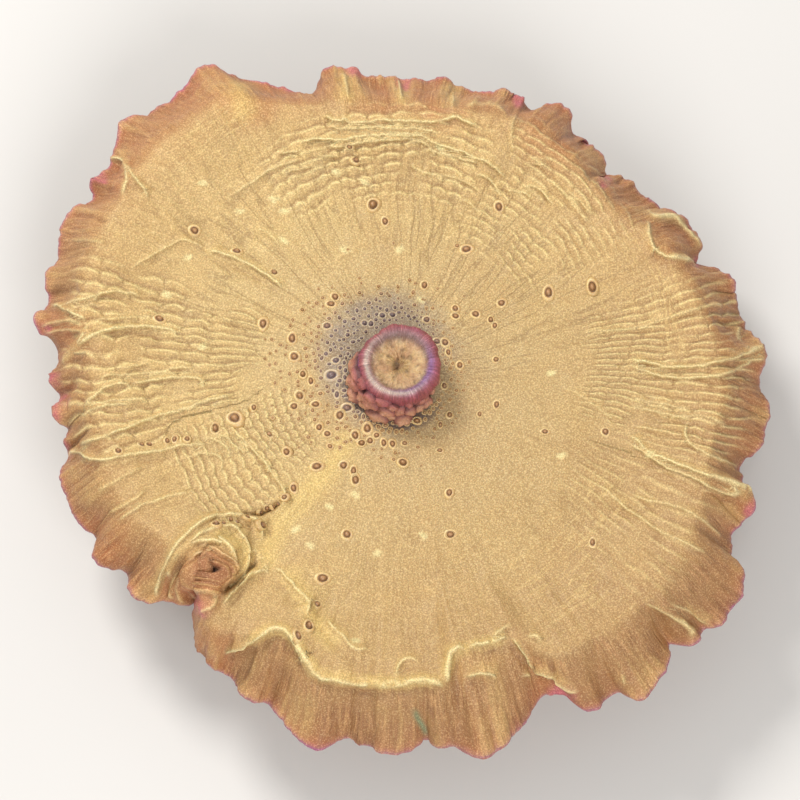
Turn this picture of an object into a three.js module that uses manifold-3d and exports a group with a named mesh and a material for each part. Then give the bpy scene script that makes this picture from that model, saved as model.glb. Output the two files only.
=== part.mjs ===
// A mushroom coral: one soft polyp, a wide ruffled disc with a mouth cone, on a short column.
// Millimetres, +Z up. The foot is cut flat at Z = 0, and the origin is under the middle of the outline.
import * as THREE from "three";
import { mergeVertices } from "three/addons/utils/BufferGeometryUtils.js";
import Module from "manifold-3d";

const { degToRad, lerp, smoothstep } = THREE.MathUtils;

// Heights of the main levels above the cut face
const MOUTH_TOP = 23.0;
const DISC_FLOOR = 17.2;
const CREST_HEIGHT = 19.2;
const MARGIN_HEIGHT = 12.2;
const APRON_RISE = 1.0;
const APRON_RADIUS = 9.0;

// Thickness of the disc near the mouth and at the margin
const THICK_MIDDLE = 4.2;
const THICK_MARGIN = 1.3;

// The places below are as seen from this far above the horizon, across and up from the mouth's centre.
const VIEW_ELEVATION = degToRad(73);
const OUTLINE_CENTRE = { across: 0.05, up: -1.0 };

// One row per lobe of the margin, counter-clockwise from +X. A lobe starts at a notch and swells to a
// crest, each given as an angle in degrees and a reach in mm; the last value lifts the crest.
const LOBES = [
  [6.8, 38.3, 9.5, 38.5, 0.6],
  [13, 37.5, 15, 38.2, 1.4],
  [20, 34.7, 24.5, 36.0, 0.4],
  [31.3, 33.4, 35, 33.7, 1.2],
  [43.3, 31.0, 50, 33.2, 1.8],
  [53.3, 33.0, 58.5, 34.9, 1.0],
  [63.4, 32.9, 65.7, 33.6, 1.3],
  [67.7, 32.9, 69.5, 33.0, 0.8],
  [77.5, 32.1, 83.5, 33.1, 1.2],
  [92, 32.3, 103, 34.9, 1.5],
  [107.7, 33.0, 113, 34.6, 0.5],
  [115.8, 35.4, 123.5, 40.4, 1.6],
  [128.5, 39.4, 137, 41.2, 0.9],
  [143.8, 39.3, 148, 40.5, 1.7],
  [150.4, 39.2, 156, 40.5, 1.1],
  [160, 40.1, 165, 40.3, 0.6],
  [168.8, 39.7, 172.5, 40.6, 1.5],
  [177.3, 38.1, 181, 38.8, 0.9],
  [184.5, 37.8, 186.5, 38.0, 1.2],
  [189.7, 37.2, 192, 38.1, 1.6],
  [193.3, 37.8, 200, 39.4, 1.3],
  [207.8, 38.2, 211.5, 39.4, 1.2],
  [216.5, 37.4, 218.5, 38.2, 1.6],
  [228.5, 33.4, 236, 38.5, 1.8],
  [239, 38.2, 246, 39.5, 1.0],
  [248, 39.2, 257.5, 42.4, 1.9],
  [261.8, 40.7, 267, 41.9, 1.4],
  [274.2, 40.3, 282.3, 43.0, 2.0],
  [293.7, 38.8, 300.3, 42.8, 1.6],
  [302, 42.6, 306.7, 44.7, 1.8],
  [314, 41.8, 317.8, 44.0, 1.5],
  [319.5, 43.5, 325, 45.0, 1.2],
  [330.5, 41.5, 332, 41.2, 0.8],
  [336, 40.6, 338.7, 41.7, 2.4],
  [343.7, 39.1, 350, 40.7, 1.3],
  [352.2, 40.0, 355, 40.7, 1.0],
  [357.5, 39.8, 362.3, 40.4, 1.2],
];
const NOTCH_SHARPNESS = 0.8;
const WIDE_LOBE = 14;

// The crest where the disc turns down into the skirt: an angle round the mouth in degrees, its distance
// from the mouth, and how far it stands above the crest level
const CREST = [
  [0, 34.7, 0],
  [22, 32.5, 0.2],
  [40, 29.6, -0.2],
  [60, 31.0, 0.2],
  [90, 30.6, 0],
  [105, 31.6, 0.2],
  [124, 36.0, 0.3],
  [140, 36.4, -0.4],
  [165, 35.6, 0.1],
  [180, 33.2, 0],
  [205, 33.2, -0.3],
  [222, 31.0, 0.4],
  [238, 35.4, 0.2],
  [244, 32.8, 0.6],
  [249, 32.4, 0.8],
  [254, 34.8, 0.9],
  [270, 35.2, 0.6],
  [277, 35.3, 0.7],
  [281, 32.2, 0.8],
  [292, 32.4, 0.4],
  [298, 36.2, 0.3],
  [320, 37.2, -0.2],
  [332, 36.2, -0.3],
  [345, 34.8, 0.4],
];
const LEAST_SKIRT = 2.6;

// Low wrinkles that run round the disc inside the crest, and the stretches of the disc they cover:
// middle and half width in degrees, then height
const WRINKLED = [
  [84, 46, 0.7],
  [190, 44, 0.65],
  [348, 32, 0.45],
];

// Rings of the upper surface, 1 at the crest and 2 at the margin, each with its part in the wrinkles
const UPPER_RINGS = [
  [0.24, 0],
  [0.4, 0],
  [0.52, 0],
  [0.6, -0.4],
  [0.66, 0.6],
  [0.72, -0.6],
  [0.78, 1],
  [0.84, -0.8],
  [0.9, 1],
  [0.95, -1],
  [1, 0.8],
  [1.15, -0.3],
  [1.35, 0.3],
  [1.65, 0],
  [2, 0],
];
const LOWER_RINGS = [1.93, 1.25, 0.75];
const UNDER_CENTRE = 14.0;

// Mouth cone, from its sunken base over the lip and down into the gullet: radius, height
const MOUTH_PROFILE = [
  [0, 15.5],
  [5.7, 15.5],
  [5.6, 18.4],
  [4.8, 19.6],
  [4.5, 21.6],
  [4.3, 22.6],
  [3.8, 23.0],
  [3.2, 22.8],
  [2.8, 21.8],
  [2.3, 20.4],
  [1.2, 19.9],
  [0, 19.7],
];
const MOUTH_SEGMENTS = 28;
const LIP_PLEATS = 14;
const LIP_PLEAT_DEPTH = 0.14;

// Column and foot, from the cut face up into the disc: radius, height
const COLUMN_PROFILE = [
  [0, 0],
  [18.6, 0],
  [18.2, 1.4],
  [15.4, 4.0],
  [14.0, 7.4],
  [14.9, 10.8],
  [18.4, 13.4],
  [20.5, 15.0],
  [0, 15.6],
];
const COLUMN_SEGMENTS = 32;

// The rolled-up knob near the margin: its place as seen, then its rings as radius and height above the disc
const KNOB = { across: -20.6, up: -23.0 };
const KNOB_PROFILE = [
  [0, -1.1],
  [2.4, -1.1],
  [4.6, -0.9],
  [3.9, 0.9],
  [3.1, 0.5],
  [2.3, 1.4],
  [1.5, 1.1],
  [0.9, 1.5],
  [0, 0.1],
];
const KNOB_SEGMENTS = 16;
const KNOB_SAG = 1.6; // its outer side hangs no lower than this over the skirt

// The largest blisters: across and up from the mouth as seen, then radius
const BLISTERS = [
  [-7.1, -1.4, 0.8],
  [-10.6, -3.7, 0.65],
  [-3.5, -7.3, 0.65],
  [-4.8, -12.9, 0.65],
  [-14.9, 4.1, 0.7],
  [-18.1, -6.2, 0.9],
  [-5.9, -18.8, 0.7],
  [-8.4, -23.4, 0.75],
  [-2.9, 17.1, 0.7],
  [11.1, 17.1, 0.65],
  [16.2, 7.6, 0.75],
  [21.1, 8.1, 0.75],
];

const SKIN = new THREE.MeshStandardMaterial({ color: 0xc8a26a, roughness: 0.6, metalness: 0 });

const wasm = await Module();
wasm.setup();

// Smooth values between hand-set rows at angles round the disc
function aroundDisc(table, degrees) {
  const angle = THREE.MathUtils.euclideanModulo(degrees, 360);
  const last = table.findLastIndex(([at]) => at <= angle);
  const [from, ...values] = table[last];
  const [to, ...next] = table[last + 1] ?? [360, ...table[0].slice(1)];
  const share = smoothstep(angle, from, to);
  return values.map((value, k) => lerp(value, next[k], share));
}

// How strongly the disc is wrinkled in a direction, in millimetres
function wrinkleHeight(degrees) {
  const away = (middle) => Math.abs(THREE.MathUtils.euclideanModulo(degrees - middle + 180, 360) - 180);
  const heights = WRINKLED.map(([middle, half, height]) => height * (1 - smoothstep(away(middle), 0.5 * half, half)));
  return Math.max(...heights);
}

// Places a point read as seen onto the plan, for its height
function planFromSeen(across, up, height) {
  const drop = (MOUTH_TOP - height) * Math.cos(VIEW_ELEVATION);
  return new THREE.Vector3(across, (up + drop) / Math.sin(VIEW_ELEVATION), height);
}

// Margin of the disc at station u, which counts lobes round from the first notch
function marginAt(u) {
  const lobe = Math.floor(u) % LOBES.length;
  const share = u - Math.floor(u);
  const [notchAngle, notchReach, crestAngle, crestReach, lift] = LOBES[lobe];
  const [nextAngle, nextReach] = LOBES[(lobe + 1) % LOBES.length];
  const rising = share < 0.5;
  const towardsCrest = rising ? 2 * share : 2 - 2 * share;
  const endAngle = rising ? notchAngle : nextAngle + (nextAngle < notchAngle ? 360 : 0);
  const endReach = rising ? notchReach : nextReach;
  const swell = Math.sin((towardsCrest * Math.PI) / 2);
  const angle = degToRad(lerp(endAngle, crestAngle, towardsCrest));
  const reach = lerp(endReach, crestReach, swell ** NOTCH_SHARPNESS);
  const height = MARGIN_HEIGHT + lift * swell ** 2;
  return planFromSeen(
    OUTLINE_CENTRE.across + reach * Math.cos(angle),
    OUTLINE_CENTRE.up + reach * Math.sin(angle),
    height,
  );
}

// The crest in the direction of a margin point: its distance from the mouth and its height
function crestAt(margin) {
  const degrees = THREE.MathUtils.radToDeg(Math.atan2(margin.y, margin.x));
  const [radius, rise] = aroundDisc(CREST, degrees);
  const reach = Math.hypot(margin.x, margin.y);
  return { reach, radius: Math.min(radius, reach - LEAST_SKIRT), height: CREST_HEIGHT + rise };
}

// A point of the upper surface on a ring, 1 at the crest and 2 at the margin
function upperPoint(ring, margin) {
  const crest = crestAt(margin);
  const radius = ring < 1 ? ring * crest.radius : lerp(crest.radius, crest.reach, ring - 1);
  const apron = APRON_RISE * Math.exp(-((radius / APRON_RADIUS) ** 2));
  const fall = Math.max(ring - 1, 0);
  const inside = lerp(DISC_FLOOR, crest.height, smoothstep(ring, 0.6, 1) ** 2) + apron;
  const skirt = lerp(crest.height, margin.z, 0.5 * fall + 0.5 * Math.sin((fall * Math.PI) / 2) ** 2);
  const share = radius / crest.reach;
  return new THREE.Vector3(share * margin.x, share * margin.y, ring < 1 ? inside : skirt);
}

function thickness(ring) {
  return lerp(THICK_MIDDLE, THICK_MARGIN, smoothstep(ring, 0.4, 1.3));
}

// Stations round the margin: each lobe has its notch, its crest and evenly spaced points between
const stations = LOBES.flatMap(([notchAngle], lobe) => {
  const nextAngle = LOBES[(lobe + 1) % LOBES.length][0];
  const width = THREE.MathUtils.euclideanModulo(nextAngle - notchAngle, 360);
  const steps = width > WIDE_LOBE ? 6 : 4;
  return Array.from({ length: steps }, (_, step) => lobe + step / steps);
});
const margins = stations.map(marginAt);

// Height of the upper surface at a place on the plan, from the nearest station
function discHeight(x, y) {
  const here = new THREE.Vector2(x, y);
  const angleTo = (margin) => here.angleTo(new THREE.Vector2(margin.x, margin.y));
  const nearest = margins.reduce((best, margin) => (angleTo(margin) < angleTo(best) ? margin : best));
  const crest = crestAt(nearest);
  const beyond = (here.length() - crest.radius) / (crest.reach - crest.radius);
  const ring = beyond < 0 ? here.length() / crest.radius : 1 + beyond;
  return upperPoint(ring, nearest).z;
}

// A point on the disc under a place read as seen
function onDisc(across, up) {
  const guess = planFromSeen(across, up, DISC_FLOOR);
  return planFromSeen(across, up, discHeight(guess.x, guess.y));
}

// A closed solid from a lathe whose rows each place their own points
function latheSolid(profile, segments, place) {
  const rows = profile.map(([radius, height]) => new THREE.Vector2(radius, height));
  const geometry = new THREE.LatheGeometry(rows, segments);
  const position = geometry.attributes.position;
  for (let k = 0; k < position.count; k++) {
    const column = Math.floor(k / rows.length) % segments;
    const point = place(profile[k % rows.length], column, k % rows.length);
    position.setXYZ(k, point.x, point.y, point.z);
  }
  return solidFrom(geometry);
}

function solidFrom(geometry) {
  const bare = geometry.index ? geometry : geometry.clone();
  bare.deleteAttribute("normal");
  bare.deleteAttribute("uv");
  const merged = mergeVertices(bare, 1e-4);
  return new wasm.Manifold(
    new wasm.Mesh({
      numProp: 3,
      vertProperties: new Float32Array(merged.attributes.position.array),
      triVerts: new Uint32Array(merged.index.array),
    }),
  );
}

function makeDisc() {
  const profile = [
    [0, 0, "axis", UNDER_CENTRE],
    ...LOWER_RINGS.toReversed().map((ring) => [ring, 0, "lower", 0]),
    ...UPPER_RINGS.toReversed().map(([ring, wrinkle]) => [ring, 1, "upper", wrinkle]),
    [0, 2, "axis", DISC_FLOOR + APRON_RISE],
  ];
  return latheSolid(profile, stations.length, ([ring, , side, value], column) => {
    if (side === "axis") {
      return new THREE.Vector3(0, 0, value);
    }
    const margin = margins[column];
    const point = upperPoint(ring, margin);
    const degrees = THREE.MathUtils.radToDeg(Math.atan2(margin.y, margin.x));
    point.z += side === "upper" ? value * wrinkleHeight(degrees) : -thickness(ring);
    return point;
  });
}

function makeMouth() {
  return latheSolid(MOUTH_PROFILE, MOUTH_SEGMENTS, ([radius, height], column) => {
    const angle = (column / MOUTH_SEGMENTS) * 2 * Math.PI;
    const pleat = LIP_PLEAT_DEPTH * Math.cos(LIP_PLEATS * angle) * (radius > 1.5 ? 1 : 0);
    const r = radius + pleat;
    return new THREE.Vector3(r * Math.cos(angle), r * Math.sin(angle), height);
  });
}

function makeColumn() {
  return latheSolid(COLUMN_PROFILE, COLUMN_SEGMENTS, ([radius, height], column) => {
    const angle = (column / COLUMN_SEGMENTS) * 2 * Math.PI;
    const r = radius * (1 + 0.05 * Math.sin(3 * angle + 0.6) + 0.03 * Math.sin(7 * angle));
    return new THREE.Vector3(r * Math.cos(angle), r * Math.sin(angle), height);
  });
}

function makeKnob() {
  const centre = onDisc(KNOB.across, KNOB.up);
  return latheSolid(KNOB_PROFILE, KNOB_SEGMENTS, ([radius, height], column) => {
    const angle = (column / KNOB_SEGMENTS) * 2 * Math.PI;
    const x = centre.x + radius * Math.cos(angle);
    const y = centre.y + radius * Math.sin(angle);
    const base = Math.max(discHeight(x, y), centre.z - KNOB_SAG);
    return new THREE.Vector3(x, y, base + height);
  });
}

function makeBlister([across, up, radius]) {
  const centre = onDisc(across, up);
  const ball = new THREE.IcosahedronGeometry(radius, 1);
  ball.translate(centre.x, centre.y, centre.z + 0.25 * radius);
  return solidFrom(ball);
}

// The outer skin of a body: the tiny sealed hollows left where its pieces meet are filled in
function outerSkin(body) {
  return body.decompose().reduce((most, part) => (part.volume() > most.volume() ? part : most));
}

function meshFrom(solid, name) {
  const { vertProperties, triVerts } = solid.getMesh();
  const geometry = new THREE.BufferGeometry();
  geometry.setAttribute("position", new THREE.BufferAttribute(vertProperties, 3));
  geometry.setIndex(new THREE.BufferAttribute(triVerts, 1));
  geometry.computeVertexNormals();
  const mesh = new THREE.Mesh(geometry, SKIN);
  mesh.name = name;
  return mesh;
}

const grown = [makeColumn(), makeMouth(), makeKnob(), ...BLISTERS.map(makeBlister)];
const body = grown.reduce((joined, piece) => joined.add(piece), makeDisc());
const polyp = meshFrom(outerSkin(body), "polyp");

const box = new THREE.Box3().setFromObject(polyp);
const middle = box.getCenter(new THREE.Vector3());
polyp.position.set(-middle.x, -middle.y, -box.min.z);

const coral = new THREE.Group();
coral.name = "mushroom_coral";
coral.add(polyp);

export default coral;
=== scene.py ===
"""A mushroom coral: one soft polyp with a wide ruffled disc, a mouth cone and small blisters.

Lengths are in millimetres until the meshes are made. "As seen" means across and up in the photo's view.
"""

import math

import bpy
import numpy as np
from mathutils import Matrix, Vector


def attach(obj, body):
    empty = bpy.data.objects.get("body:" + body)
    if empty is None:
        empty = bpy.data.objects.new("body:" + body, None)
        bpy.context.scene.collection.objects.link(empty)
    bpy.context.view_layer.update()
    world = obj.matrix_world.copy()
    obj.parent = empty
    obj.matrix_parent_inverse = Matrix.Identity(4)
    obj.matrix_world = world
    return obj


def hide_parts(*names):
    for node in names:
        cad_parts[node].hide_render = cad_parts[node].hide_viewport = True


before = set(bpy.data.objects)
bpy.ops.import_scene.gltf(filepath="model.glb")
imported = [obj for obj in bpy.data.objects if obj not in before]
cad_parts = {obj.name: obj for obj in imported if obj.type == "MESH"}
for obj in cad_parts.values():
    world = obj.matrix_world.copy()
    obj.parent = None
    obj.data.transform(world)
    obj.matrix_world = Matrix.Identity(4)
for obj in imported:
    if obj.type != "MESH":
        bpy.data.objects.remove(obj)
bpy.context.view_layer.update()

MM = 0.001
PIXEL = 0.11  # millimetres spanned by one pixel of the photo
MOUTH_PIXEL = (399.5, 362.0)
OUTLINE_PIXEL = (400.0, 371.0)  # the margin's angles and reaches are read from here
MOUTH_AXIS = (-0.196, 2.328)  # where the mouth stands in the part's frame
VIEW_ELEVATION = math.radians(73)

# Heights of the main levels above the cut face
MOUTH_TOP = 23.0
DISC_FLOOR = 17.2
CREST_HEIGHT = 19.2
MARGIN_HEIGHT = 12.2
APRON_RISE = 1.0
APRON_RADIUS = 9.0

# Thickness of the disc near the mouth and at the margin
THICK_MIDDLE = 4.2
THICK_MARGIN = 1.0

# The margin, one row per lobe, counter-clockwise from the right: how far its crest lifts, then points of
# its edge as angle and reach in pixels, starting in the notch before it
LOBES = [
    (0.6, [(6.8, 348), (8, 350), (10, 350), (12, 344)]),
    (1.4, [(13, 341), (14, 346), (15, 347), (17, 343), (18.3, 338), (19, 327)]),
    (0.4, [(20, 315), (20.5, 318), (22, 324), (24.5, 327), (27, 326.5), (28.5, 324), (30, 320),
           (30.6, 318)]),
    (1.2, [(31.3, 303.5), (32, 305), (35, 306), (38, 304), (40, 301), (42, 294)]),
    (1.8, [(43.3, 282), (44.5, 288), (46, 296), (47.5, 299), (49, 300), (52, 303)]),
    (1.0, [(53.3, 300.5), (54.5, 301), (55.5, 307), (56.2, 312), (59, 317), (60.5, 312),
           (62.5, 306)]),
    (1.3, [(63.3, 299), (64, 300), (65.5, 305), (66.5, 304)]),
    (0.8, [(67.7, 299), (69, 300), (71, 297), (75, 295), (77, 292.5)]),
    (1.2, [(79, 292), (80.5, 296), (82.5, 301), (84.5, 301), (87, 300), (88, 295)]),
    (1.5, [(90.5, 294), (93, 294), (95, 296), (96.5, 300), (97.5, 307), (99, 311), (102, 315),
           (104.8, 317), (107, 304)]),
    (0.5, [(107.7, 300), (109, 302), (111, 307), (112.5, 313), (114.5, 319)]),
    (1.6, [(116, 324), (118, 342), (120, 352), (121.3, 362), (123, 366), (124, 367), (126, 365),
           (126.7, 360)]),
    (0.9, [(129, 358), (130.5, 361), (132, 365), (134, 366), (136, 372), (137, 374.5), (138.5, 373),
           (139.5, 368), (142, 364)]),
    (1.7, [(143.5, 359), (144.3, 357), (145.5, 361), (146.5, 365), (148, 368), (149.5, 365)]),
    (1.1, [(150.4, 356), (151.5, 362), (153, 365), (155, 368), (157, 368)]),
    (0.6, [(159, 365), (162, 365), (165, 366), (167, 365)]),
    (1.5, [(168.8, 361), (170, 363), (171, 368), (173, 369), (175, 364), (176, 352)]),
    (0.9, [(177.3, 346), (178.5, 347), (180, 353), (182, 353), (183.3, 347)]),
    (1.2, [(184.5, 344), (186.5, 345), (188.5, 342)]),
    (1.6, [(189.7, 338), (191, 344), (192.3, 346)]),
    (1.3, [(193.3, 343), (195, 354), (197, 355), (199, 357), (201, 358), (203, 357), (206, 354)]),
    (1.2, [(207.8, 347), (209, 352), (211, 358), (213, 357), (214.8, 352)]),
    (1.6, [(216.5, 340), (218, 347), (220, 346), (222, 340), (224, 328), (226, 320)]),
    (1.8, [(228.5, 304), (229.5, 314), (230.5, 325), (231.5, 338), (233, 345), (235, 349),
           (236.5, 350)]),
    (1.0, [(239, 347), (242, 350), (243.5, 352), (244.3, 356), (246.3, 359)]),
    (1.9, [(248, 356), (249, 359), (251, 362), (253, 372), (255, 380), (256.5, 384), (258, 385),
           (260.5, 374)]),
    (1.4, [(261.8, 370), (263, 376), (265, 377), (267, 381), (270, 380), (272, 378), (273, 372)]),
    (2.0, [(274.2, 366), (274.7, 374), (276, 374), (278, 377), (279.5, 383), (280.5, 388), (282, 391),
           (283, 391), (285, 385), (287, 378), (289, 373), (290, 370), (292, 362)]),
    (1.6, [(293.7, 353), (295, 358), (296, 358), (297.3, 366), (297.5, 378), (299, 386), (300.5, 389),
           (301.5, 387)]),
    (1.8, [(303, 387), (304, 388), (305.2, 400), (306.7, 406), (308, 403), (309.5, 396), (311, 396),
           (312.3, 392)]),
    (1.5, [(314.3, 380), (315.3, 386), (316, 393), (317.6, 399.5), (318.5, 399)]),
    (1.2, [(319.5, 395), (320.5, 402), (321.3, 407.5), (324, 408), (326.5, 409), (327.5, 404),
           (329.5, 397)]),
    (0.8, [(330.3, 376), (332, 374), (334, 371)]),
    (2.4, [(336, 369), (337.3, 374), (338, 378.5), (339, 379), (340.2, 370), (342, 360)]),
    (1.3, [(343.7, 355), (345, 358), (347, 364), (349, 369), (350.5, 370)]),
    (1.0, [(352.2, 364), (353, 368), (355, 370), (356.5, 364)]),
    (1.2, [(358, 362), (360, 362), (361.5, 366), (362.7, 367), (363.3, 362), (365, 357)]),
]
FINE_STEP = 0.05  # degrees between the margin's worked-out points
EDGE_ROUNDING = 0.3  # degrees over which its corners are rounded
ROUNDING_STEPS = 40  # of these steps to either side, which the rounding takes in

# The crest where the disc turns down into the skirt: angle round the mouth in degrees, distance, rise
CREST = [
    (0, 34.7, 0.0), (22, 32.5, 0.2), (40, 29.6, -0.2), (60, 31.0, 0.2), (90, 30.6, 0.0),
    (105, 31.6, 0.2), (124, 36.0, 0.3), (140, 36.4, -0.4), (165, 35.6, 0.1), (180, 33.2, 0.0),
    (205, 33.2, -0.3), (222, 31.0, 0.4), (238, 35.4, 0.2), (244, 32.8, 0.6), (249, 32.4, 0.8),
    (254, 34.8, 0.9), (270, 35.2, 0.6), (277, 35.3, 0.7), (281, 32.2, 0.8), (292, 32.4, 0.4),
    (298, 36.2, 0.3), (320, 37.2, -0.2), (332, 36.2, -0.3), (345, 34.8, 0.4),
]
LEAST_SKIRT = 2.6  # the crest stays this far inside the margin

# Mouth cone from inside the flesh up its wall, over the lip and down into the gullet: radius, height
MOUTH_PROFILE = [
    (4.2, 17.2), (4.35, 17.9), (4.4, 18.6), (4.4, 19.4), (4.45, 20.3), (4.52, 21.2), (4.54, 22.1),
    (4.28, 22.7), (3.8, 22.97), (3.3, 22.85), (2.98, 22.5), (2.7, 22.1), (2.2, 21.85), (1.4, 21.65),
    (0.7, 21.55), (0.02, 21.5),
]
MOUTH_RING = 0.15  # the disc ring under the cone's foot
FOOT_SHIFT = (-0.65, -0.15)  # the cone's foot spreads to its near left
ROUND_RING = 0.38  # rings inside this one turn from the crest's outline into circles
ROUND_RADIUS = 12.6
MOUTH_COLUMNS = 320
SLIT_DEPTH = 0.5  # of the opening in the gullet

# Bulges low on the cone: angle round it in degrees, height and radius in millimetres
CONE_LUMPS = [
    (158, 19.4, 0.56), (171, 18.9, 0.76), (188, 18.5, 0.96), (208, 18.5, 1.12), (229, 18.7, 0.92),
    (245, 18.3, 1.04), (264, 18.6, 0.94), (282, 18.3, 1.06), (301, 18.6, 0.84), (317, 19.0, 0.66),
    (332, 19.5, 0.54), (347, 19.2, 0.46), (180, 20.0, 0.78), (198, 20.1, 0.96), (218, 20.1, 0.88),
    (236, 20.0, 1.00), (256, 19.8, 0.80), (272, 19.9, 0.84), (291, 19.8, 0.76), (308, 20.2, 0.64),
    (192, 21.4, 0.72), (210, 21.6, 0.82), (228, 21.5, 0.74), (247, 21.4, 0.72), (266, 21.1, 0.58),
    (284, 21.0, 0.50),
]
LUMP_REACH = 4.25  # from the cone's axis to the middle of a bulge
LUMP_SPREAD = 0.2  # more at the foot
LUMP_SIDES = 20
LUMP_ROWS = 12

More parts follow.
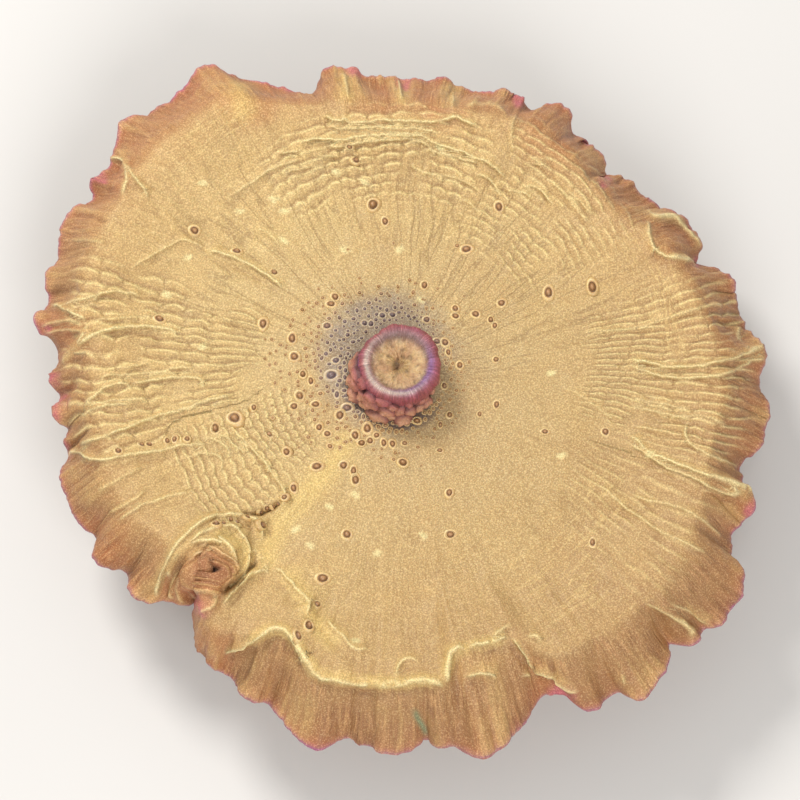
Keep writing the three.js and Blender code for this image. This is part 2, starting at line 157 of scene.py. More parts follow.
# Folds read off the photo: height, half width in millimetres, then the fold's line in pixels
FOLDS = [
    # upper left
    (0.45, 0.40, [(128, 165), (134, 177), (146, 191), (150, 201)]),
    (0.50, 0.40, [(207, 255), (215, 252), (225, 255), (243, 262), (258, 270), (272, 279),
                  (284, 289)]),
    (0.30, 0.35, [(132, 272), (138, 265), (156, 255), (179, 242), (184, 240), (198, 245),
                  (206, 249)]),
    (0.40, 0.35, [(65, 306), (86, 301), (103, 295), (117, 292), (132, 294), (143, 298)]),
    (0.30, 0.35, [(70, 310), (91, 305), (103, 308)]),
    (0.35, 0.40, [(234, 196), (243, 189), (255, 182), (267, 172), (282, 166), (301, 160),
                  (318, 159)]),
    (0.40, 0.35, [(277, 154), (293, 153), (310, 150), (330, 149)]),
    (0.30, 0.35, [(280, 177), (293, 171), (310, 168), (330, 165)]),
    (0.30, 0.40, [(253, 230), (263, 230), (272, 236), (282, 248)]),
    (0.50, 0.40, [(110, 162), (118, 159), (127, 163), (129, 174), (127, 187), (122, 198)]),
    (-0.35, 0.30, [(69, 219), (86, 218), (103, 221), (112, 224)]),
    (0.30, 0.35, [(74, 242), (94, 242), (108, 246)]),
    # far edge
    (0.50, 0.35, [(322, 115), (332, 121), (341, 122), (344, 119), (347, 123), (356, 124), (372, 123),
                  (380, 120), (391, 122), (413, 122), (430, 123), (441, 122), (452, 118), (459, 118),
                  (465, 123), (480, 127)]),
    (0.40, 0.30, [(328, 126), (339, 130), (352, 129), (365, 129), (380, 127), (393, 130), (413, 128),
                  (439, 133)]),
    (0.50, 0.35, [(300, 142), (317, 139), (332, 140), (343, 141), (356, 137), (376, 136), (393, 135),
                  (413, 135), (424, 137), (432, 143), (441, 146), (450, 149), (463, 152), (473, 158),
                  (489, 163), (506, 179)]),
    (0.40, 0.30, [(300, 153), (315, 149), (332, 147), (343, 148), (365, 142), (387, 141), (404, 140),
                  (415, 140), (426, 145), (434, 153), (447, 154), (463, 161), (480, 164)]),
    (0.30, 0.30, [(300, 161), (313, 159), (328, 156), (343, 158)]),
    (0.35, 0.35, [(408, 163), (417, 171), (430, 174), (447, 177), (463, 181), (473, 188),
                  (482, 194)]),
    (0.40, 0.35, [(473, 175), (482, 176), (491, 181), (497, 190), (502, 199)]),
    (0.30, 0.35, [(456, 201), (465, 201), (473, 207), (482, 217)]),
    (0.30, 0.30, [(404, 107), (417, 104), (428, 108), (430, 112)]),
    (0.30, 0.30, [(463, 107), (480, 105), (495, 109), (508, 116)]),
    (0.50, 0.35, [(399, 80), (401, 92), (402, 103)]),
    (0.35, 0.35, [(344, 73), (346, 86), (349, 103)]),
    (0.30, 0.35, [(454, 92), (453, 103), (452, 112)]),
    (0.30, 0.35, [(517, 112), (512, 125), (511, 142), (514, 155)]),
    (0.40, 0.35, [(519, 188), (530, 186), (541, 190), (547, 199), (554, 207)]),
    (0.30, 0.35, [(549, 181), (560, 190), (569, 201), (577, 212), (588, 225)]),
    (0.30, 0.35, [(562, 188), (573, 197), (584, 207), (593, 218)]),
    (0.30, 0.30, [(521, 162), (530, 164), (538, 166), (549, 164)]),
    (0.30, 0.30, [(530, 157), (543, 161), (556, 159)]),
    (-0.20, 0.30, [(566, 139), (574, 139), (582, 141)]),
    (0.35, 0.35, [(502, 190), (515, 192), (525, 194), (534, 201)]),
    # left
    (0.60, 0.40, [(63, 366), (73, 356), (82, 347), (90, 339), (99, 334), (107, 332), (121, 329),
                  (137, 327), (154, 328), (168, 330), (176, 332), (178, 339)]),
    (0.40, 0.35, [(66, 365), (75, 354), (87, 353), (95, 351)]),
    (0.45, 0.35, [(90, 414), (92, 404), (99, 395), (107, 388), (119, 384), (128, 384), (133, 388),
                  (132, 392)]),
    (0.45, 0.35, [(133, 384), (147, 382), (161, 380), (176, 378), (190, 378), (200, 379), (204, 383),
                  (205, 390)]),
    (0.35, 0.30, [(101, 382), (109, 376), (119, 376), (133, 375), (147, 373), (161, 373), (176, 369),
                  (195, 369)]),
    (0.30, 0.30, [(109, 369), (126, 368), (140, 366), (150, 363), (157, 366)]),
    (0.35, 0.30, [(90, 407), (102, 403), (116, 401), (133, 400), (147, 399), (152, 401)]),
    (0.40, 0.30, [(87, 418), (95, 410), (107, 406), (121, 404), (130, 405), (133, 407)]),
    (0.45, 0.35, [(80, 444), (99, 440), (113, 434), (126, 430), (142, 423), (159, 416), (176, 412),
                  (194, 407), (202, 403), (216, 400), (233, 397)]),
    (0.50, 0.40, [(64, 454), (76, 450), (89, 454), (99, 459), (111, 460), (126, 456), (140, 454),
                  (154, 452), (168, 450), (181, 445), (195, 444), (209, 445)]),
    (0.35, 0.30, [(111, 447), (118, 445), (123, 449), (125, 454)]),
    (0.35, 0.35, [(188, 457), (199, 454), (212, 452), (223, 457), (226, 462)]),
    (0.35, 0.35, [(202, 438), (212, 438), (223, 442), (230, 449), (235, 459)]),
    (0.35, 0.35, [(216, 436), (226, 435), (235, 444), (245, 452), (247, 457)]),
    (0.40, 0.35, [(235, 430), (245, 440), (254, 450), (266, 461), (274, 475), (285, 487), (288, 497),
                  (281, 506)]),
    (0.35, 0.35, [(123, 519), (133, 512), (147, 502), (161, 499), (176, 493), (194, 492)]),
    (0.30, 0.35, [(104, 490), (119, 481), (133, 473), (147, 466)]),
    (0.30, 0.35, [(113, 512), (126, 506), (140, 497), (150, 487)]),
    (0.60, 0.40, [(49, 302), (64, 308), (78, 314), (90, 323)]),
    (0.50, 0.40, [(90, 323), (85, 344), (64, 363)]),
    (0.35, 0.35, [(40, 328), (56, 322), (75, 320), (87, 325)]),
    (0.35, 0.35, [(42, 335), (58, 331), (75, 330), (89, 332)]),
    (0.30, 0.30, [(95, 321), (116, 320), (140, 317), (157, 317)]),
    (0.20, 0.30, [(176, 318), (202, 321), (237, 323), (259, 324)]),
    # round the rolled knob
    (0.70, 0.45, [(159, 590), (164, 573), (173, 554), (187, 537), (202, 525), (219, 516), (237, 514),
                  (250, 515), (259, 521), (264, 530), (264, 540)]),
    (0.60, 0.45, [(175, 563), (185, 552), (202, 535), (219, 528), (232, 526), (240, 530), (247, 540),
                  (250, 554), (249, 568), (242, 580), (233, 590)]),
    (0.60, 0.45, [(173, 573), (175, 564), (183, 552), (194, 544), (206, 542), (219, 545), (228, 547),
                  (233, 556), (233, 568), (232, 576)]),
    (0.50, 0.30, [(192, 560), (199, 554), (212, 552), (224, 555), (231, 561), (233, 570), (230, 581),
                  (222, 588)]),
    (0.35, 0.30, [(178, 597), (174, 586), (178, 574), (186, 564)]),
    (0.30, 0.28, [(185, 598), (181, 588), (183, 577), (189, 569)]),
    (0.35, 0.25, [(250, 552), (256, 548), (262, 551)]),
    (0.35, 0.25, [(257, 559), (263, 555), (270, 558)]),
    (0.35, 0.25, [(262, 566), (268, 562), (275, 566)]),
    (0.35, 0.40, [(196, 594), (206, 591), (216, 593), (219, 600), (214, 607), (203, 609)]),
    (0.60, 0.40, [(224, 603), (233, 592), (244, 582), (254, 571), (266, 569), (273, 572)]),
    (0.50, 0.50, [(273, 566), (281, 568), (290, 578), (299, 590), (309, 597), (311, 602),
                  (307, 613)]),
    (-0.90, 0.35, [(219, 594), (226, 587), (237, 582), (247, 571), (254, 563), (262, 558)]),
    (-0.80, 0.30, [(242, 511), (257, 513), (268, 508), (276, 504), (285, 499)]),
    # near edge
    (0.80, 0.50, [(225, 648), (240, 646), (254, 638), (268, 628), (280, 625), (288, 628), (295, 637),
                  (302, 647), (309, 659), (319, 671), (331, 675), (345, 675), (359, 680), (371, 678),
                  (387, 680), (400, 675)]),
    (0.40, 0.50, [(325, 616), (337, 628), (347, 638), (354, 647), (371, 645)]),
    (0.80, 0.50, [(371, 679), (390, 682), (403, 679), (416, 676), (430, 676), (440, 679),
                  (443, 683)]),
    (0.40, 0.40, [(394, 674), (397, 666), (400, 659), (406, 655), (415, 655), (419, 659)]),
    (0.70, 0.45, [(444, 679), (446, 669), (448, 658), (450, 650), (455, 645), (460, 644),
                  (465, 646)]),
    (0.50, 0.45, [(465, 645), (474, 641), (488, 640), (499, 635), (509, 633)]),
    (0.40, 0.45, [(489, 638), (499, 626), (511, 621)]),
    (0.50, 0.45, [(463, 673), (471, 669), (483, 668), (489, 669), (494, 674)]),
    (0.50, 0.40, [(509, 633), (518, 643), (526, 653), (529, 659), (534, 663)]),
    (0.40, 0.40, [(523, 633), (531, 633), (537, 636), (539, 641)]),
    (0.70, 0.40, [(529, 664), (537, 664), (549, 668), (559, 674), (567, 683), (577, 688)]),
    (0.40, 0.40, [(516, 673), (524, 668), (529, 666)]),
    (0.40, 0.35, [(620, 668), (622, 681)]),
    # right
    (0.30, 0.35, [(580, 334), (596, 332), (614, 331), (631, 329), (644, 327), (653, 323), (667, 318),
                  (681, 314), (696, 309), (708, 306), (721, 309)]),
    (0.50, 0.35, [(628, 361), (640, 362), (653, 364), (660, 367), (674, 368), (689, 367), (703, 366),
                  (717, 362), (728, 359), (739, 354), (753, 351), (764, 350)]),
    (0.45, 0.35, [(630, 367), (642, 371), (653, 375), (667, 378), (681, 379), (696, 378), (712, 377),
                  (726, 373), (737, 366), (747, 359), (764, 359)]),
    (0.35, 0.30, [(628, 396), (640, 401), (653, 403), (667, 405), (678, 409), (689, 408)]),
    (0.35, 0.30, [(628, 405), (640, 409), (655, 412), (667, 415), (681, 417), (692, 416), (703, 417),
                  (724, 426)]),
    (0.30, 0.30, [(630, 426), (642, 428), (656, 430), (671, 432)]),
    (0.60, 0.40, [(626, 437), (635, 439), (640, 446), (647, 453), (660, 457), (671, 462), (685, 467),
                  (699, 473), (712, 476), (722, 482), (731, 489), (742, 494), (749, 498)]),
    (0.45, 0.35, [(628, 444), (640, 451), (653, 460), (667, 469), (681, 473), (696, 480), (712, 489),
                  (737, 494)]),
    (0.40, 0.35, [(685, 421), (683, 428), (683, 437), (689, 446), (703, 453), (715, 459), (728, 464),
                  (739, 466)]),
    (0.35, 0.35, [(597, 484), (610, 494), (622, 507), (635, 514), (649, 525), (660, 532), (674, 537),
                  (703, 553)]),
    (0.35, 0.35, [(628, 492), (642, 500), (656, 501), (671, 505), (685, 510), (696, 517), (708, 526),
                  (721, 537)]),
    (0.25, 0.30, [(560, 387), (571, 391), (587, 401), (601, 412), (614, 421)]),
    (0.40, 0.35, [(640, 600), (660, 607), (680, 620), (690, 635)]),
    (0.35, 0.35, [(665, 600), (690, 612), (705, 622)]),
    (0.40, 0.35, [(733, 323), (735, 334), (742, 345)]),
    (0.50, 0.40, [(645, 214), (652, 224), (668, 222), (684, 232), (697, 248)]),
    (0.50, 0.40, [(645, 222), (648, 240), (658, 258), (697, 264)]),
]

# Share of the heights above that the mesh takes; the crest lines, partly painted highlight and partly
# paler flesh, are drawn in the finish
FOLD_DEPTH = 0.8
CREST_REACH = 1.5  # farther than this from a crest its line can't show
CREST_SCALLOP = 0.09  # how far the crest lines swing as they pass over beads
CREST_SCALLOP_LENGTH = 1.5
LIGHT_SIDE = (-0.5, 0.85)  # where the light comes from, as seen

# Patches of beaded wrinkles: middle and half width in degrees round the mouth, inner and outer distance
# as seen, spacing of the rows, length of a bead, height, how far the beads' tops bulge out of their row
# as a share of its width, and whether the rows run round the mouth or outwards from it
WRINKLE_PATCHES = [
    (96, 46, 18.0, 28.5, 1.15, 2.2, 0.25, 0.10, "round"),
    (47, 27, 14.5, 31.0, 1.00, 2.2, 0.18, 0.08, "round"),
    (209, 24, 11.5, 27.5, 1.00, 1.5, 0.29, 0.09, "round"),
    (179, 26, 15.0, 37.0, 1.10, 3.0, 0.31, 0.09, "out"),
    (139, 28, 16.0, 37.0, 1.30, 8.0, 0.12, 0.03, "out"),
    (357, 26, 20.0, 39.0, 0.85, 3.2, 0.21, 0.08, "out"),
    (328, 20, 21.0, 39.0, 1.20, 5.0, 0.15, 0.06, "out"),
    (275, 34, 18.0, 31.0, 1.60, 4.0, 0.09, 0.05, "round"),
]

# The rolled knob near the margin: its middle and the hole in it, in pixels
KNOB_PIXEL = (212, 562)
KNOB_REACH = 3.9  # radius of its own finer mesh, whose rim is tucked under the disc's skin
KNOB_COLUMNS = 240
KNOB_ROWS = 56
KNOB_TUCK = 0.5
DISC_TUCK = 0.4  # the disc is sunk this far under it
KNOB_RISE = 1.3
KNOB_SPREAD = 4.6
HOLE_PIXEL = (211, 572)
HOLE_DEPTH = 1.2
HOLE_RADIUS = 0.8

# Blisters: across, down and radius in pixels
BLISTERS = [
    # crowding round the mouth
    (335, 297, 5), (332, 305, 5), (328, 327, 5), (425, 287, 5), (413, 293, 3), (454, 309, 4.5),
    (456, 316, 4.5), (476, 315, 5), (490, 320, 4), (495, 326, 4), (427, 320, 4.5), (437, 341, 4.5),
    (445, 343, 5), (449, 352, 4), (459, 365, 4.5), (333, 375, 7), (336, 360, 4.5), (305, 375, 4.5),
    (312, 381, 4.5), (301, 396, 6), (317, 403, 5), (347, 408, 6), (340, 415, 6), (338, 394, 4),
    (443, 386, 4), (436, 394, 6), (417, 421, 4.5), (449, 414, 4), (439, 424, 3.5), (320, 427, 4.5),
    (329, 433, 4.5), (330, 446, 3.5), (356, 434, 5.5), (368, 428, 6), (376, 435, 4), (361, 443, 4.5),
    (371, 441, 4.5), (384, 442, 4.5), (393, 443, 4.5), (405, 444, 3.5), (317, 466, 6),
    (345, 465, 5.5), (354, 469, 5), (356, 479, 6), (402, 461, 5.5), (440, 449, 3.5), (496, 360, 4),
    (494, 405, 4.5), (479, 415, 3.5), (383, 316, 4), (393, 316, 4), (365, 325, 4), (371, 325, 4),
    # over the rest of the disc
    (373, 207, 7), (356, 161, 5), (349, 148, 4), (386, 223, 5), (500, 207, 6), (457, 246, 3),
    (467, 249, 6), (501, 303, 5), (547, 293, 7), (591, 288, 7), (194, 232, 6), (237, 252, 5),
    (275, 273, 5), (264, 325, 6), (292, 337, 6), (294, 357, 6), (162, 320, 6), (235, 419, 8),
    (218, 427, 6), (256, 408, 4), (294, 406, 5), (271, 434, 5), (287, 452, 5), (294, 487, 5),
    (347, 532, 6), (323, 575, 7), (319, 601, 5), (309, 623, 6), (300, 632, 6), (605, 432, 5),
    (545, 432, 4), (450, 532, 6), (449, 491, 5), (590, 541, 5), (121, 451, 5), (144, 445, 4),
    (151, 444, 4), (170, 440, 4), (177, 438, 4), (188, 438, 4), (261, 511, 4), (268, 508, 4),
    (275, 506, 4), (280, 502, 4), (285, 497, 4), (218, 523, 5), (226, 521, 4), (233, 518, 4),
    (240, 520, 4), (248, 516, 4), (265, 524, 6),
]
TINY_BLISTERS = 340  # crowded round the mouth, denser on its left
LEAST_FROM_CONE = 5.1  # a blister nearer to the middle of the cone's foot is left out
SEAT_POINTS = 12  # of the disc's mesh, which set a blister's tilt

# Outwards in, up, and place in the colours: a low ring of skin, a groove, then the bead in it
BLISTER_PROFILE = [
    (1.45, -0.40, 0.0), (1.22, -0.02, 0.05), (1.02, 0.15, 0.2), (0.84, 0.20, 0.3), (0.68, 0.14, 0.4),
    (0.56, 0.06, 0.5), (0.50, 0.18, 0.62), (0.38, 0.34, 0.78), (0.22, 0.44, 0.92),
]
BLISTER_TOP = 0.48
BLISTER_SINK = 0.05  # a blister sits this share of its radius in the flesh
BLISTER_SIDES = 14

# Lobes of a deeper orange: across, down and radius in pixels
RUST_PATCHES = [
    (66, 330, 30), (672, 238, 30), (110, 178, 24), (560, 130, 50), (375, 85, 45), (440, 92, 45),
    (250, 95, 40), (210, 596, 18), (545, 690, 26), (745, 505, 18), (70, 400, 22), (100, 545, 40),
    (180, 600, 30), (215, 650, 30),
]
# Magenta curls of the margin, the same way
PINK_PATCHES = [
    (355, 66, 13), (402, 82, 11), (206, 604, 13), (62, 404, 14), (55, 380, 10), (747, 506, 8),
    (560, 692, 17), (98, 176, 10), (694, 262, 7), (64, 450, 10), (604, 182, 8), (520, 100, 9),
    (44, 330, 10), (290, 84, 8),
]
# Yellow bands: half width in millimetres, then their middle line in pixels; the last two, along the near
# edge's crests, are partly painted highlight
PALE_BANDS = [
    (1.5, [(352, 424), (342, 450), (322, 478), (300, 500), (282, 520), (268, 548), (272, 575)]),
    (1.2, [(285, 560), (300, 590), (318, 620), (345, 650)]),
    (1.6, [(346, 60), (348, 85), (350, 112)]),
    (1.0, [(401, 78), (402, 108)]),
    (1.2, [(450, 80), (453, 110)]),
    (1.6, [(238, 70), (246, 130)]),
    (1.3, [(205, 545), (230, 535), (252, 560), (246, 585)]),
    (0.7, [(240, 646), (268, 628), (288, 628), (302, 647), (319, 671), (345, 675), (387, 680),
           (430, 676), (443, 680)]),
    (0.6, [(444, 679), (448, 658), (460, 644), (488, 640), (509, 633)]),
]
# A lobe darkened with painted shade: across, down and radius in pixels
SHADED_LOBES = [(208, 648, 66)]
# A thin green streak in a fold of the skirt, given as the yellow bands are
GREEN_BANDS = [(0.32, [(412, 700), (417, 714), (424, 724), (427, 736)])]

FLECK_SIZE = (0.62, 0.34)  # half length and half width of a fleck
# Pale flecks in the flesh, across and down in pixels; the ones at (365, 183) and (648, 454) are painted
# glints of light
FLECKS_AND_GLINTS = [
    (203, 184), (241, 212), (168, 295), (190, 258), (284, 241), (204, 348), (336, 173), (285, 212),
    (356, 638), (311, 544), (297, 528), (356, 494), (377, 552), (440, 148), (345, 250), (550, 373),
    (365, 183), (648, 454), (423, 534), (400, 250), (421, 300), (275, 200), (560, 455), (330, 505),
]

# Column and foot, up from the cut: share of the disc's underside in the place, radius, height
COLUMN_ROWS = [
    (0.72, 18.8, 13.2), (0.42, 17.0, 12.6), (0.18, 15.7, 11.8), (0.05, 14.9, 10.6), (0.0, 14.3, 9.2),
    (0.0, 14.0, 7.6), (0.0, 14.2, 6.2), (0.0, 14.8, 4.9), (0.0, 15.6, 3.8), (0.0, 16.6, 2.8),
    (0.0, 17.6, 1.8), (0.0, 18.3, 0.9), (0.0, 18.6, 0.3),
]
CUT_RADII = [18.45, 18.0, 15.0, 11.0, 7.0, 3.5, 1.2]

# Points round a row of the disc: out near the margin, farther in, and round the mouth
FINE_COLUMNS = 1056
MIDDLE_COLUMNS = 528
COARSE_COLUMNS = 264
# Columns stand closer together towards the knob: its angle, then how far and how strongly, in degrees
CLOSER_ANGLE = 225.5
CLOSER_SPREAD = 8.0
CLOSER_AMOUNT = 1.0

# Ribs of the disc: how many, the rings between which they appear, and their height
RIBS = [(96, 0.3, 0.6, 0.035), (192, 0.5, 0.9, 0.05), (288, 1.0, 1.4, 0.09)]
# Each row of beads starts at its own place, which these two numbers scatter
JITTER_RATE = 7.13
JITTER_SIZE = 91.7
FINDING_STEPS = 14  # to find where on the disc a place in the photo is

DISC_VALUES = [
    "ring", "relief", "fleck_and_glint", "under", "crest_gap", "crest_show", "row", "bead", "bulge", "beaded",
    "knob", "calm", "tone", "painted_mouth_shade", "painted_contact_shade", "rust", "pink", "pale_skin_and_highlight", "green", "spokes",
]
MOUTH_VALUES = ["share", "relief", "violet", "pale", "mauve", "lump"]
BLISTER_VALUES = ["bead", "painted_mouth_shade", "tiny", "rim"]


def smoothstep(low, high, value):
    """From 0 to 1 between two values, level at both ends."""
    share = np.clip((value - low) / (high - low), 0.0, 1.0)
    return share * share * (3 - 2 * share)


def mix(start, end, share):
    """The value this share of the way from start to end."""
    return start + (end - start) * share


def noise(x, y, seed, around=256):
    """Smooth noise about -1 to 1 in cells of one unit, repeating in x after this many cells."""
    turns = np.random.default_rng(seed).uniform(0, 2 * math.pi, (around, 256))
    cell_x = np.floor(x).astype(int)
    cell_y = np.floor(y).astype(int)
    part_x = x - cell_x
    part_y = y - cell_y

    def corner(step_x, step_y):
        turn = turns[(cell_x + step_x) % around, (cell_y + step_y) % 256]
        return np.cos(turn) * (part_x - step_x) + np.sin(turn) * (part_y - step_y)

    share_x = part_x ** 3 * (part_x * (6 * part_x - 15) + 10)
    share_y = part_y ** 3 * (part_y * (6 * part_y - 15) + 10)
    low = mix(corner(0, 0), corner(1, 0), share_x)
    high = mix(corner(0, 1), corner(1, 1), share_x)
    return 1.5 * mix(low, high, share_y)


def noise_round(turn, cells, away, seed):
    """Noise for an angle in radians with this many cells all the way round, so that its ends meet."""
    return noise(turn * cells / (2 * math.pi), away + 0 * turn, seed, around=cells)


def noise_along(place, seed, lane=0.5):
    """Noise along a line."""
    return noise(place, lane + 0 * place, seed)


def layered(x, y, seed, layers=3):
    """Noise with finer and weaker noise added to it."""
    total = 0
    for layer in range(layers):
        total = total + noise(x * 2 ** layer, y * 2 ** layer, seed + layer) / 2 ** layer
    return total


def rounded(points, rounds=2):
    """The line with its corners cut, its ends kept."""
    line = np.array(points, float)
    for _ in range(rounds):
        early = 0.75 * line[:-1] + 0.25 * line[1:]
        late = 0.25 * line[:-1] + 0.75 * line[1:]
        middle = np.stack([early, late], 1).reshape(-1, line.shape[1])
        line = np.vstack([line[:1], middle, line[-1:]])
    return line


def round_the_disc(table, degrees):
    """Smooth values between rows at angles round the disc."""
    rows = np.array(table + [(table[0][0] + 360, *table[0][1:])], float)
    angle = np.asarray(degrees) % 360
    last = np.searchsorted(rows[:, 0], angle, side="right") - 1
    share = smoothstep(rows[last, 0], rows[last + 1, 0], angle)
    return [mix(rows[last, k], rows[last + 1, k], share) for k in range(1, rows.shape[1])]


def as_seen(points):
    """Across and up in the photo's view, from the mouth's centre."""
    x, y, z = np.moveaxis(points, -1, 0)
    return x, y * math.sin(VIEW_ELEVATION) - (MOUTH_TOP - z) * math.cos(VIEW_ELEVATION)


def from_pixel(pixel_x, pixel_y):
    """A place in the photo as millimetres across and up from the mouth's centre."""
    return (pixel_x - MOUTH_PIXEL[0]) * PIXEL, (MOUTH_PIXEL[1] - pixel_y) * PIXEL


def off_pixel(pixel, across, up):
    """How far across and up points are from a place in the photo."""
    pixel_across, pixel_up = from_pixel(*pixel)
    return across - pixel_across, up - pixel_up


def degrees_off(turn, middle):
    """How far an angle is from another one, from -180 to 180 degrees."""
    return (turn - middle + 180) % 360 - 180


def margin_tables():
    """Reach and lift of the margin at every fine step of the angle, as seen."""
    angles = []
    reaches = []
    lift_angles = []
    lifts = []
    for lift, edge in LOBES:
        angles += [angle for angle, _ in edge]
        reaches += [reach * PIXEL for _, reach in edge]
        crest_angle = max(edge, key=lambda point: point[1])[0]
        lift_angles += [edge[0][0], crest_angle]
        lifts += [0.0, lift]
    fine = np.arange(0, 360, FINE_STEP)
    reach = np.interp(fine, angles, reaches, period=360)
    lift = np.interp(fine, lift_angles, lifts, period=360)
    spread = np.arange(-ROUNDING_STEPS, ROUNDING_STEPS + 1) * FINE_STEP
    rounding = np.exp(-0.5 * (spread / EDGE_ROUNDING) ** 2)
    rounding /= rounding.sum()

    def smoothed(values):
        closed = np.concatenate([values[-ROUNDING_STEPS:], values, values[:ROUNDING_STEPS]])
        return np.convolve(closed, rounding, "valid")

    return fine, smoothed(reach), smoothed(lift)


EDGE_ANGLES, EDGE_REACHES, EDGE_LIFTS = margin_tables()


def margin_at(angle):
    """The margin's place on the plan and its height, for an outline angle in radians."""
    degrees = np.degrees(angle) % 360
    reach = np.interp(degrees, EDGE_ANGLES, EDGE_REACHES, period=360)
    lift = np.interp(degrees, EDGE_ANGLES, EDGE_LIFTS, period=360)
    scallop = noise_round(angle, 84, 0.5, 11)
    fine_scallop = noise_round(angle, 190, 0.5, 12)
    reach = reach + 0.16 * scallop + 0.12 * fine_scallop - 0.4 * THICK_MARGIN
    z = MARGIN_HEIGHT + lift + 0.55 * scallop + 0.2 * fine_scallop
    middle_x, middle_y = from_pixel(*OUTLINE_PIXEL)
    across = middle_x + reach * np.cos(angle)
    up = middle_y + reach * np.sin(angle)
    y = (up + (MOUTH_TOP - z) * math.cos(VIEW_ELEVATION)) / math.sin(VIEW_ELEVATION)
    return across, y, z


def disc_place(ring, angle):
    """A point of the smooth upper surface: ring 1 is the crest and ring 2 the margin."""
    margin_x, margin_y, margin_z = margin_at(angle)
    reach = np.hypot(margin_x, margin_y)
    crest_radius, crest_rise = round_the_disc(CREST, np.degrees(np.arctan2(margin_y, margin_x)))
    crest_radius = np.minimum(crest_radius, reach - LEAST_SKIRT)
    crest_z = CREST_HEIGHT + crest_rise
    to_crest = smoothstep(MOUTH_RING, ROUND_RING, ring)
    inner = mix(ring / ROUND_RING * ROUND_RADIUS, ring * crest_radius, to_crest)
    outer = mix(crest_radius, reach, ring - 1)
    radius = np.where(ring < 1, inner, outer)
    apron = APRON_RISE * np.exp(-((radius / APRON_RADIUS) ** 2))
    dish = mix(DISC_FLOOR, crest_z, smoothstep(0.6, 1.0, ring) ** 2) + apron
    fall = np.clip(ring - 1, 0, None)
    drop = 0.5 * fall ** 1.3 + 0.5 * np.sin(np.clip(fall, 0, 1) * math.pi / 2) ** 2
    skirt = mix(crest_z, margin_z, drop)
    z = np.where(ring < 1, dish, skirt)
    share = radius / reach
    x = share * margin_x + FOOT_SHIFT[0] * (1 - to_crest)
    y = share * margin_y + FOOT_SHIFT[1] * (1 - to_crest)
    return np.stack([x, y, z + 0 * angle], -1)


MOUTH_LINE = rounded(MOUTH_PROFILE, 3)
MOUTH_LENGTHS = np.concatenate([[0], np.cumsum(np.hypot(*np.diff(MOUTH_LINE, axis=0).T))])
MOUTH_LENGTHS /= MOUTH_LENGTHS[-1]


def mouth_place(share, angle):
    """A point of the mouth cone: share 0 is inside the flesh and 1 the middle of the gullet."""
    radius = np.interp(share, MOUTH_LENGTHS, MOUTH_LINE[:, 0])
    z = np.interp(share, MOUTH_LENGTHS, MOUTH_LINE[:, 1])
    wall = smoothstep(0.05, 0.2, share) * (1 - smoothstep(0.5, 0.66, share))
    throat = smoothstep(0.62, 0.72, share) * (1 - smoothstep(0.93, 1.0, share))
    radius = radius + 0.30 * noise_round(angle, 8, 0.5, 21) * wall
    radius = radius + 0.16 * noise_round(angle, 26, 3.0 * share, 22) * (wall + throat)
    radius = radius + 0.06 * noise_round(angle, 80, 6.0 * share, 23) * (wall + throat)
    pleats = noise_round(angle, 16, 7.0 * share, 24) + 0.6 * noise_round(angle, 38, 12.0 * share, 25)
    z = z + (0.17 + 0.09 * np.cos(angle - 2.3)) * pleats * throat
    to_foot = 1 - smoothstep(0.05, 0.4, share)
    x = radius * np.cos(angle) + FOOT_SHIFT[0] * to_foot
    y = radius * np.sin(angle) + FOOT_SHIFT[1] * to_foot
    slit = np.exp(-(((x + 0.45) / 0.55) ** 2) - ((y + 0.15 - 0.35 * x) / 0.24) ** 2)
    return np.stack([x, y, z - SLIT_DEPTH * slit * smoothstep(0.7, 0.8, share)], -1)


def surface(place, at, angle):
    """Points of a smooth surface and its outward directions."""
    step = 2e-3
    points = place(at, angle)
    along = place(at + step, angle) - place(at - step, angle)
    across = place(at, angle + step) - place(at, angle - step)
    normals = np.cross(along, across)
    normals /= np.linalg.norm(normals, axis=-1, keepdims=True)
    return points, normals


def line_distance(across, up, line):
    """For points as seen: the distance to a line, 1 or -1 for its lit or its shaded side, and how far
    along it they are. The last value is the line's length."""
    nearest = np.full(across.shape, 1e9)
    side = np.zeros(across.shape)
    along = np.zeros(across.shape)
    walked = 0.0
    for start, end in zip(line[:-1], line[1:]):
        step = end - start
        length = max(np.hypot(*step), 1e-6)
        step = step / length
        ahead = np.clip((across - start[0]) * step[0] + (up - start[1]) * step[1], 0, length)
        gap_x = across - start[0] - ahead * step[0]
        gap_y = up - start[1] - ahead * step[1]
        gap = np.hypot(gap_x, gap_y)
        closer = gap < nearest
        nearest = np.where(closer, gap, nearest)
        towards_light = np.sign(LIGHT_SIDE[1] * step[0] - LIGHT_SIDE[0] * step[1])
        side = np.where(closer, towards_light * np.sign(step[0] * gap_y - step[1] * gap_x), side)
        along = np.where(closer, walked + ahead, along)
        walked += length
    return nearest, side, along, walked


